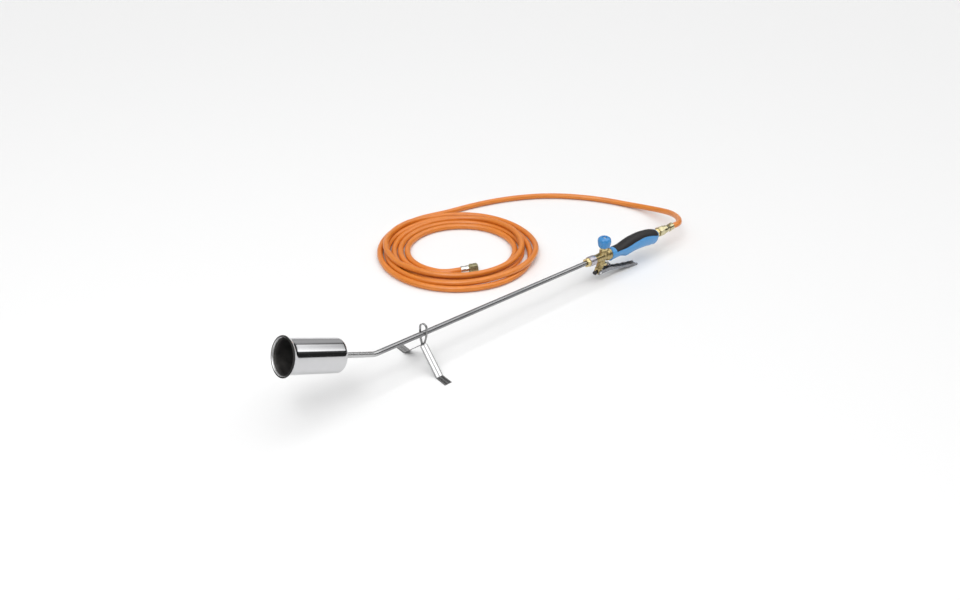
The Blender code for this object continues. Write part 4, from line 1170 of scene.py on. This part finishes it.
def make_regulator(body, brass, knob_blue, screw_steel):
    upright = VALVE @ UPRIGHT
    nut = [(15.1, 2.8), (15.1, 7.6), (15.9, 8.7), (19.6, 8.7), (20.8, 7.0), (20.8, 2.8)]
    shape = hexed(15.0, 15.1, 20.6)
    piece = placed("neck_nut", turned_mesh(nut, 120, True, 0.2, shape, 0.5), upright, brass, body)
    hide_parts("packing_nut")

    def flutes(x, radius, angle):
        if radius < 9 or x > 44.4:
            return radius
        deep = min(1.0, max(0.0, (x - 21.6) / 5.0)) * min(1.0, max(0.0, (43.8 - x) / 3.6))
        wave = (0.5 + 0.5 * math.cos(8 * angle)) ** 1.6
        return radius * (1 - 0.075 * deep * wave)

    knob = [
        (21.1, 2.8), (21.1, 8.4), (21.6, 9.6), (22.8, 11.4), (25.8, 13.0), (31.0, 14.3), (36.0, 14.9),
        (38.0, 14.7), (41.0, 13.6), (43.2, 11.6), (44.8, 8.8), (45.4, 6.8), (45.2, 5.6), (42.2, 4.6),
        (42.2, 3.6), (35.1, 3.6), (35.1, 2.8),
    ]
    piece = placed(
        "flow_knob", turned_mesh(knob, 192, True, 0.9, flutes, 0.6), upright, knob_blue, "knob", 50.0
    )
    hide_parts("regulating_knob")
    screw = [(35.4, 0), (35.4, 3.3), (42.6, 3.3), (43.6, 2.4), (43.9, 0)]
    piece = placed(
        "cap_screw", turned_mesh(screw, 48, False, 0.3), upright, screw_steel, "knob"
    )
    corners = [(43.2 * MM, -4 * MM), (43.2 * MM, 4 * MM), (46 * MM, 4 * MM), (46 * MM, -4 * MM)]
    slot = outline_plate(corners, -0.45 * MM, 0.45 * MM)
    boolean(piece, helper(slot, upright), "DIFFERENCE")
    baked(piece)
    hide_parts("knob_screw")


def make_plunger(body, brass, steel):
    gland = [
        (7.3, 3.6), (7.3, 5.2), (8.0, 5.8), (13.0, 5.8), (13.6, 5.0), (13.6, 4.3), (16.4, 4.1), (16.8, 3.7),
        (16.8, 2.3), (14.6, 2.3), (14.6, 3.6),
    ]
    shape = hexed(10.0, 7.2, 13.6)
    bm = turned_mesh(gland, 96, True, 0.15, shape, 0.5)
    piece = placed("button_gland", bm, PLUNGER, brass, body)
    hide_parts("plunger_gland")
    button = [
        (6.6, 0), (6.6, 3.3), (8.0, 3.3), (8.0, 2.0), (22.4, 2.0), (22.4, 4.4), (22.8, 4.6), (24.2, 4.6),
        (25.6, 4.0), (26.6, 2.8), (27.2, 1.4), (27.4, 0),
    ]
    piece = placed("button", turned_mesh(button, 64, False, 0.25), PLUNGER, steel, "plunger")
    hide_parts("valve_plunger")


# Lever, all in millimetres from the knob's axis and the lance's line: its lower edge, its flanges
LEVER_EDGE = [
    (-1.0, -38.6), (8.0, -38.6), (25.0, -39.8), (45.0, -43.8), (68.0, -49.0), (90.0, -53.3), (105.0, -55.8),
    (113.4, -56.0),
]
LEVER_FLANGE = [(0.0, 7.6), (10.0, 8.4), (22.0, 8.0), (36.0, 5.6), (108.0, 5.6), (113.4, 3.2)]


def lever_height(x):
    base = smooth_steps(LEVER_EDGE, x)[0]
    fade = min(1.0, max(0.0, (x - 38.0) / 12.0)) * min(1.0, max(0.0, (108.0 - x) / 8.0))
    return base - 0.6 * fade * math.sin(math.tau * (x - 44.0) / 19.0)


def make_lever(body, zinc, steel):
    """A pressed channel with two side flanges, and lugs at its pivot."""
    places = [step * 1.2 for step in range(95)]
    places = [x for x in places if x < 113.0] + [113.4]
    lower = [(x, lever_height(x)) for x in places]
    upper = [(x, z + smooth_steps(LEVER_FLANGE, x)[0]) for x, z in lower]
    nose = []
    for step in range(17):
        angle = math.radians(110 + 185 * step / 16)
        nose.append((-11.0 + 5.0 * math.cos(angle), -35.0 + 5.0 * math.sin(angle)))
    outline = [(x * MM, z * MM) for x, z in nose + lower + upper[::-1]]
    inner = LEVER_HALF_WIDTH - LEVER_SHEET
    bm = outline_plate(outline, -LEVER_HALF_WIDTH, -inner)
    lever = placed("squeeze_lever", bm, VALVE, zinc, "lever")
    boolean(lever, helper(outline_plate(outline, inner, LEVER_HALF_WIDTH), VALVE), "UNION")
    web = [(x * MM, z * MM) for x, z in lower if x >= 8.0]
    web += [(x, z + LEVER_SHEET) for x, z in reversed(web)]
    overlap = LEVER_SHEET / 2
    boolean(lever, helper(outline_plate(web, -inner - overlap, inner + overlap), VALVE), "UNION")
    tab = [(27.8, -14.0), (27.8, 1.2), (29.0, 1.2), (29.0, -14.0)]
    bm = outline_plate([(x * MM, z * MM) for x, z in tab], -4.5 * MM, 4.5 * MM)
    boolean(lever, helper(bm, PLUNGER), "UNION")
    hole = turned_mesh([(-9, 0), (-9, 2.1), (9, 2.1), (9, 0)], 48, False, 0.0)
    boolean(lever, helper(hole, LEVER_PIN), "DIFFERENCE")
    baked(lever)
    zinc.on(lever)
    bevel(lever, 0.42 * MM, segments=3, angle=50.0)
    lever.data.shade_smooth()
    lever.data.set_sharp_from_angle(angle=math.radians(40))
    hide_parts("lever")
    reach = LEVER_HALF_WIDTH / MM + 0.3
    pin = [
        (-reach - 1.2, 0), (-reach - 1.2, 2.6), (-reach - 0.6, 3.2), (-reach, 3.2), (-reach, 1.8),
        (reach, 1.8), (reach, 3.2), (reach + 0.6, 3.2), (reach + 1.2, 2.6), (reach + 1.2, 0),
    ]
    piece = placed("pivot_pin", turned_mesh(pin, 48, False, 0.3), LEVER_PIN, steel, body)
    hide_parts("lever_pin")


def make_pilot_screw(body, black):
    screw = [(-4.0, 0), (-4.0, 1.8), (0, 1.8), (0, 3.8), (1.0, 4.6), (5.4, 4.6), (6.4, 3.8), (6.4, 0)]

    def grooves(x, radius, angle):
        if radius < 3.9 or not 0.5 < x < 6.0:
            return radius
        return radius - 0.22 * (0.5 + 0.5 * math.cos(18 * angle))

    bm = turned_mesh(screw, 108, False, 0.35, grooves, 0.5)
    piece = placed("pilot_knob", bm, PILOT, black, body)
    slot = [(5.5 * MM, -6 * MM), (5.5 * MM, 6 * MM), (8 * MM, 6 * MM), (8 * MM, -6 * MM)]
    bar = outline_plate(slot, -0.5 * MM, 0.5 * MM)
    boolean(piece, helper(bar, PILOT), "DIFFERENCE")
    baked(piece)
    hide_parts("pilot_screw")


# ---------------------------------------------------------------- handle

HANDLE_START, HANDLE_END = 499.0, 650.5
INSERT_START, INSERT_END, INSERT_DEPTH = 512.5, 648.4, 2.2
HANDLE_POWER = 0.92
# Place along the lance, height above it, depth below it, half width, in millimetres
HANDLE_OUTLINE = [
    (499.0, 12.8, 16.8, 13.6),
    (506.5, 11.4, 16.0, 13.4),
    (514.0, 10.6, 15.5, 13.2),
    (523.0, 10.3, 15.3, 13.0),
    (533.0, 11.2, 15.9, 13.1),
    (541.0, 13.3, 18.6, 13.6),
    (550.0, 16.0, 21.5, 14.3),
    (560.0, 18.2, 19.8, 15.0),
    (572.0, 19.8, 17.6, 15.4),
    (586.0, 20.6, 17.2, 15.6),
    (600.0, 20.4, 17.5, 15.6),
    (614.0, 18.8, 18.6, 15.6),
    (626.0, 16.8, 20.8, 15.5),
    (634.0, 15.0, 20.6, 15.3),
    (641.0, 12.9, 22.8, 14.9),
    (646.5, 11.2, 22.6, 13.8),
    (650.5, 9.8, 20.6, 12.2),
]
# Edge between the grip insert and the handle body: place, height above the lance
INSERT_EDGE = [
    (499.0, 3.6), (518.0, 3.4), (539.0, 3.6), (556.0, 6.4), (571.0, 9.1), (600.0, 11.4), (625.0, 7.8),
    (645.0, 1.8), (650.5, 0.6),
]


def handle_point(place, angle, inset):
    """A point of the handle's surface, or of a skin this far inside it, in millimetres."""
    top, bottom, half = smooth_steps(HANDLE_OUTLINE, place)
    rise, across = math.sin(angle), math.cos(angle)
    y = half * math.copysign(abs(across) ** HANDLE_POWER, across)
    z = (top if rise > 0 else bottom) * math.copysign(abs(rise) ** HANDLE_POWER, rise)
    shrink = 1 - inset / math.hypot(y, z)
    return Vector((place, y * shrink, z * shrink)) * MM


def edge_angle(place):
    height = smooth_steps(INSERT_EDGE, place)[0]
    top = smooth_steps(HANDLE_OUTLINE, place)[0]
    return math.asin(min(0.95, max(0.0, height / top)) ** (1 / HANDLE_POWER))


def handle_sink(place, angle, edge):
    """How deep the handle body lies under its outline: the insert's pocket, with soft edges."""
    ends = min(place - INSERT_START, INSERT_END - place)
    around = min(angle - edge, math.pi - edge - angle) * 14.0
    inside = min(ends, around)
    if inside <= 0:
        near = max(-inside, 0.0)
        return 0.35 * max(0.0, 1 - near / 0.8) ** 2
    return (INSERT_DEPTH + 0.3) * min(1.0, inside / 0.35)


def make_handle(body, blue, black):
    places = sorted(
        {HANDLE_START, HANDLE_END, INSERT_START, INSERT_START + 0.35, INSERT_END, INSERT_END - 0.35}
        | {HANDLE_START + 0.15, HANDLE_START + 0.5, HANDLE_END - 0.15, HANDLE_END - 0.6}
        | {INSERT_START - 0.8, INSERT_START - 0.3, INSERT_END + 0.3, INSERT_END + 0.8}
        | {HANDLE_START + 1.25 * step for step in range(1, 121)}
    )
    upper, lower = 56, 60
    bore = TUBE_RADIUS / MM + 0.4
    rings = []
    for place in places:
        edge = edge_angle(place)
        round_off = max(0.0, 0.5 - (place - HANDLE_START)) + max(0.0, 0.6 - (HANDLE_END - place))
        ring = []
        for step in range(upper):
            # more points next to the pocket's edges than across its middle
            share = 0.5 - 0.5 * math.cos(math.pi * step / upper)
            angle = edge + (math.pi - 2 * edge) * (0.35 * step / upper + 0.65 * share)
            sunk = handle_sink(place, angle, edge)
            ring.append(handle_point(place, angle, sunk + round_off))
        for step in range(lower):
            share = 0.5 - 0.5 * math.cos(math.pi * step / lower)
            angle = math.pi - edge + (math.pi + 2 * edge) * (0.6 * step / lower + 0.4 * share)
            outside = min(step, lower - step) / lower * (math.pi + 2 * edge) * 14.0
            soft = 0.35 * max(0.0, 1 - outside / 0.8) ** 2 if INSERT_START < place < INSERT_END else 0.0
            seam = 0.22 * max(0.0, 1 - abs(math.sin((angle - 1.5 * math.pi) / 2)) / 0.012)
            ring.append(handle_point(place, angle, soft + seam + round_off))
        rings.append(ring)
    bm = loft(rings, caps=False)
    bm.verts.ensure_lookup_table()
    count = upper + lower
    ends = (bm.verts[:count], bm.verts[-count:])
    bores = []
    for place, skin in zip((HANDLE_START, HANDLE_END), ends):
        inner = []
        for vert in skin:
            angle = math.atan2(vert.co.z, vert.co.y)
            inner.append(bm.verts.new((place * MM, bore * MM * math.cos(angle), bore * MM * math.sin(angle))))
        bores.append(inner)
        ring_band(bm, skin, inner)
    ring_band(bm, *bores)
    handle = placed("handle", bm, LANCE, blue, body, sharp=48.0)
    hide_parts("handle_body")

    start, end = INSERT_START + 0.35, INSERT_END - 0.35
    count = 116
    places = []
    for step in range(count + 1):
        place = start + (end - start) * (0.5 - 0.5 * math.cos(math.pi * step / count))
        places.append(0.25 * place + 0.75 * (start + (end - start) * step / count))
    across = 48
    bm = bmesh.new()
    skins = []
    for layer in range(2):
        grid = []
        for place in places:
            edge = edge_angle(place) + 0.028
            row = []
            for step in range(across + 1):
                share = 0.5 - 0.5 * math.cos(math.pi * step / across)
                angle = edge + (math.pi - 2 * edge) * (0.4 * step / across + 0.6 * share)
                to_edges = (angle - edge) * 14.0, (math.pi - edge - angle) * 14.0
                margin = min(place - start, end - place, *to_edges)
                roll = 0.75 * max(0.0, 1 - margin / 1.1) ** 2
                ribs = 0.10 * math.sin(math.tau * place / 3.2) * min(1.0, max(0.0, (margin - 2.0) / 2.0))
                row.append(bm.verts.new(handle_point(place, angle, INSERT_DEPTH if layer else roll + ribs)))
            grid.append(row)
        skins.append(grid)
    for grid in skins:
        for first, second in zip(grid, grid[1:]):
            for step in range(across):
                bm.faces.new((first[step], first[step + 1], second[step + 1], second[step]))
    outer, under = skins
    for row in (0, -1):
        for step in range(across):
            bm.faces.new((outer[row][step], outer[row][step + 1], under[row][step + 1], under[row][step]))
    for column in (0, -1):
        for top, top_next, low, low_next in zip(outer, outer[1:], under, under[1:]):
            bm.faces.new((top[column], top_next[column], low_next[column], low[column]))
    grip = placed("soft_grip", bm, LANCE, black, body, sharp=60.0)
    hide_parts("grip_insert")


# ---------------------------------------------------------------- hose fittings

def make_inlet(body, brass, yellow):
    nipple = [
        (646.0, 3.6), (646.0, 5.0), (650.9, 5.0), (650.9, 8.6), (651.8, 9.8), (659.4, 9.8), (660.4, 8.8),
        (660.4, 7.2), (675.0, 7.2), (675.0, 6.6), (679.4, 6.6), (680.0, 6.0), (680.0, 3.6),
    ]
    shape = hexed(17.0, 650.8, 660.3)
    piece = placed("inlet", turned_mesh(nipple, 120, True, 0.15, shape, 0.7), LANCE, brass, body)
    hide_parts("inlet_nipple")
    nut = [
        (660.9, 7.6), (660.9, 10.2), (662.6, 11.7), (673.6, 11.7), (674.4, 10.9), (675.2, 10.9),
        (675.6, 10.4),
        (681.0, 10.4), (682.8, 9.2), (683.6, 8.4), (683.6, 5.6), (681.9, 5.6), (681.9, 7.6),
    ]
    shape = hexed(20.6, 660.8, 675.4)
    piece = placed("swivel_nut", turned_mesh(nut, 120, True, 0.2, shape, 0.7), LANCE, yellow, body)
    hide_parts("hose_nut")
    tail = [
        (680.3, 2.6), (680.3, 6.6), (681.6, 6.6), (681.6, 5.2), (683.9, 5.2), (683.9, 8.5), (684.4, 8.9),
        (688.0, 9.0), (689.0, 8.7), (695.6, 7.5), (698.3, 7.2), (698.3, 2.6),
    ]
    tail_piece = placed("hose_tail", turned_mesh(tail, 96, True, 0.3), LANCE, yellow, body)
    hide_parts("hose_tail_piece")
    band = [(699.0, 6.95), (699.0, 7.9), (699.3, 8.05), (711.2, 8.05), (711.5, 7.9), (711.5, 6.95)]
    clamp = placed("hose_clamp", turned_mesh(band, 96, True, 0.15), LANCE, yellow, body)
    for side in (1, -1):
        outline = []
        for step in range(25):
            # a pinched loop: two legs that lean together, with a round head
            angle = math.pi * step / 24
            wide = 3.1 - 0.9 * math.exp(-((angle - math.pi / 2) ** 2) / 0.9)
            pinch = 1 - 0.28 * math.sin(angle) ** 6
            outline.append((wide * math.cos(angle), 7.5 + 3.8 * math.sin(angle) ** 0.8 * pinch))
        bm = bmesh.new()
        ends = []
        for x in (702.0, 708.5):
            ends.append([bm.verts.new((x * MM, y * MM, side * z * MM)) for y, z in outline])
        bm.faces.new(ends[0])
        bm.faces.new(ends[1][::-1])
        ring_band(bm, *ends)
        boolean(clamp, helper(bm, LANCE), "UNION")
    baked(clamp)
    yellow.on(clamp)
    bevel(clamp, 0.2 * MM, segments=2, angle=45.0)
    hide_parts("ear_clamp")
    return [piece, tail_piece, clamp]


def make_end_fitting(body, steel, brass, dull_brass):
    def crimps(x, radius, angle):
        if radius < 7.5 or not (1.5 < x < 5.6 or 12.6 < x < 16.9):
            return radius
        return radius * (1 - 0.018 * (0.5 + 0.5 * math.cos(8 * angle)))

    ferrule = [
        (0.0, 3.2), (0.0, 7.9), (0.5, 8.4), (1.4, 8.7), (5.0, 8.7), (5.8, 8.3), (6.5, 8.0),
        (11.0, 8.0), (11.8, 8.3),
        (12.5, 8.7), (17.0, 8.7), (17.8, 8.2), (18.2, 7.4), (18.2, 5.8), (16.0, 5.8), (16.0, 3.2),
    ]
    first = placed(
        "crimp_ferrule", turned_mesh(ferrule, 96, True, 0.3, crimps, 0.8), END_FITTING, steel, body
    )
    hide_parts("end_ferrule")
    nipple = [
        (16.3, 2.6), (16.3, 5.4), (22.6, 5.4), (22.6, 7.6), (26.0, 7.6), (30.0, 5.2), (31.4, 4.4),
        (31.4, 2.6),
    ]
    second = placed("cone_nipple", turned_mesh(nipple, 72, True, 0.2), END_FITTING, brass, body)
    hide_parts("end_nipple")

    def threads(x, radius, angle):
        if 27.2 < x < 38.0 and 7.5 < radius < 8.2:
            return radius + 0.35 * (0.5 + 0.5 * math.cos(math.tau * x / 1.8 + angle))
        return nut_shape(x, radius, angle)

    nut_shape = hexed(19.0, 19.5, 38.3)
    nut = [
        (19.2, 5.8), (19.2, 8.0), (20.4, 9.6), (21.6, 10.9), (26.9, 10.9), (27.3, 10.2),
        (28.3, 10.2), (28.7, 10.9),
        (36.8, 10.9), (37.8, 9.6), (38.6, 8.9), (38.6, 8.0), (22.2, 8.0), (22.2, 5.8),
    ]
    bm = turned_mesh(nut, 120, True, 0.2, threads, 0.45)
    third = placed("union_nut", bm, END_FITTING, dull_brass, "end_nut")
    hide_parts("end_nut")
    return [first, second, third]


# ---------------------------------------------------------------- everything together

def finish_hidden(finishes):
    """The CAD nodes that stay as they are: small inner pieces."""
    for node, finish in finishes.items():
        finish.on(frame["nodes"][node])


def main():
    torch = "torch"
    make_camera()
    make_world()
    make_light()
    make_floor()
    hose, line = make_hose()

    brass = turned_metal("turned_brass", (0.72, 0.59, 0.30), (0.42, 0.32, 0.14), 0.20)
    yellow = turned_metal("yellow_zinc", (0.66, 0.60, 0.38), (0.38, 0.34, 0.20), 0.24)
    dull_brass = turned_metal("dull_brass", (0.52, 0.47, 0.27), (0.30, 0.27, 0.14), 0.30)
    grey = turned_metal("grey_zinc", (0.56, 0.53, 0.57), (0.42, 0.40, 0.43), 0.34)
    bright = turned_metal("bright_steel", (0.72, 0.72, 0.72), (0.48, 0.48, 0.49), 0.20)
    pale = turned_metal("pale_zinc", (0.80, 0.79, 0.75), (0.58, 0.57, 0.53), 0.22)
    black = black_part("black_screw", 0.45)
    zinc = pressed_zinc()

    make_burner(torch, polished_steel())
    make_jet(torch, brass)
    make_lance(torch, drawn_steel())
    # the stand's second finish is painted shade for its edges and crease
    make_stand(zinc_strip(), turned_metal("stand_edges_painted_shade", (0.30, 0.30, 0.30), (0.20, 0.20, 0.20), 0.40))
    make_coupling(torch, brass, grey)
    make_valve_body(torch, cast_brass())
    blue = moulded_plastic("knob_blue", (0.060, 0.300, 0.660), (0.040, 0.225, 0.530), 0.22, 0.02)
    make_regulator(torch, brass, blue, bright)
    make_plunger(torch, brass, bright)
    make_lever(torch, zinc, bright)
    make_pilot_screw(torch, black)
    blue = moulded_plastic("handle_blue", (0.085, 0.345, 0.710), (0.065, 0.295, 0.640), 0.36, 0.06)
    make_handle(torch, blue, grip_rubber())
    with_hose = make_inlet(torch, brass, yellow)
    with_hose += make_end_fitting(torch, pale, brass, dull_brass)
    seal = black_part("seal_rubber", 0.6)
    finish_hidden({
        "compression_olive": brass,
        "spindle_seal": seal,
        "valve_spindle": bright,
        "plunger_spring": bright,
        "handle_gas_tube": bright,
    })


main()
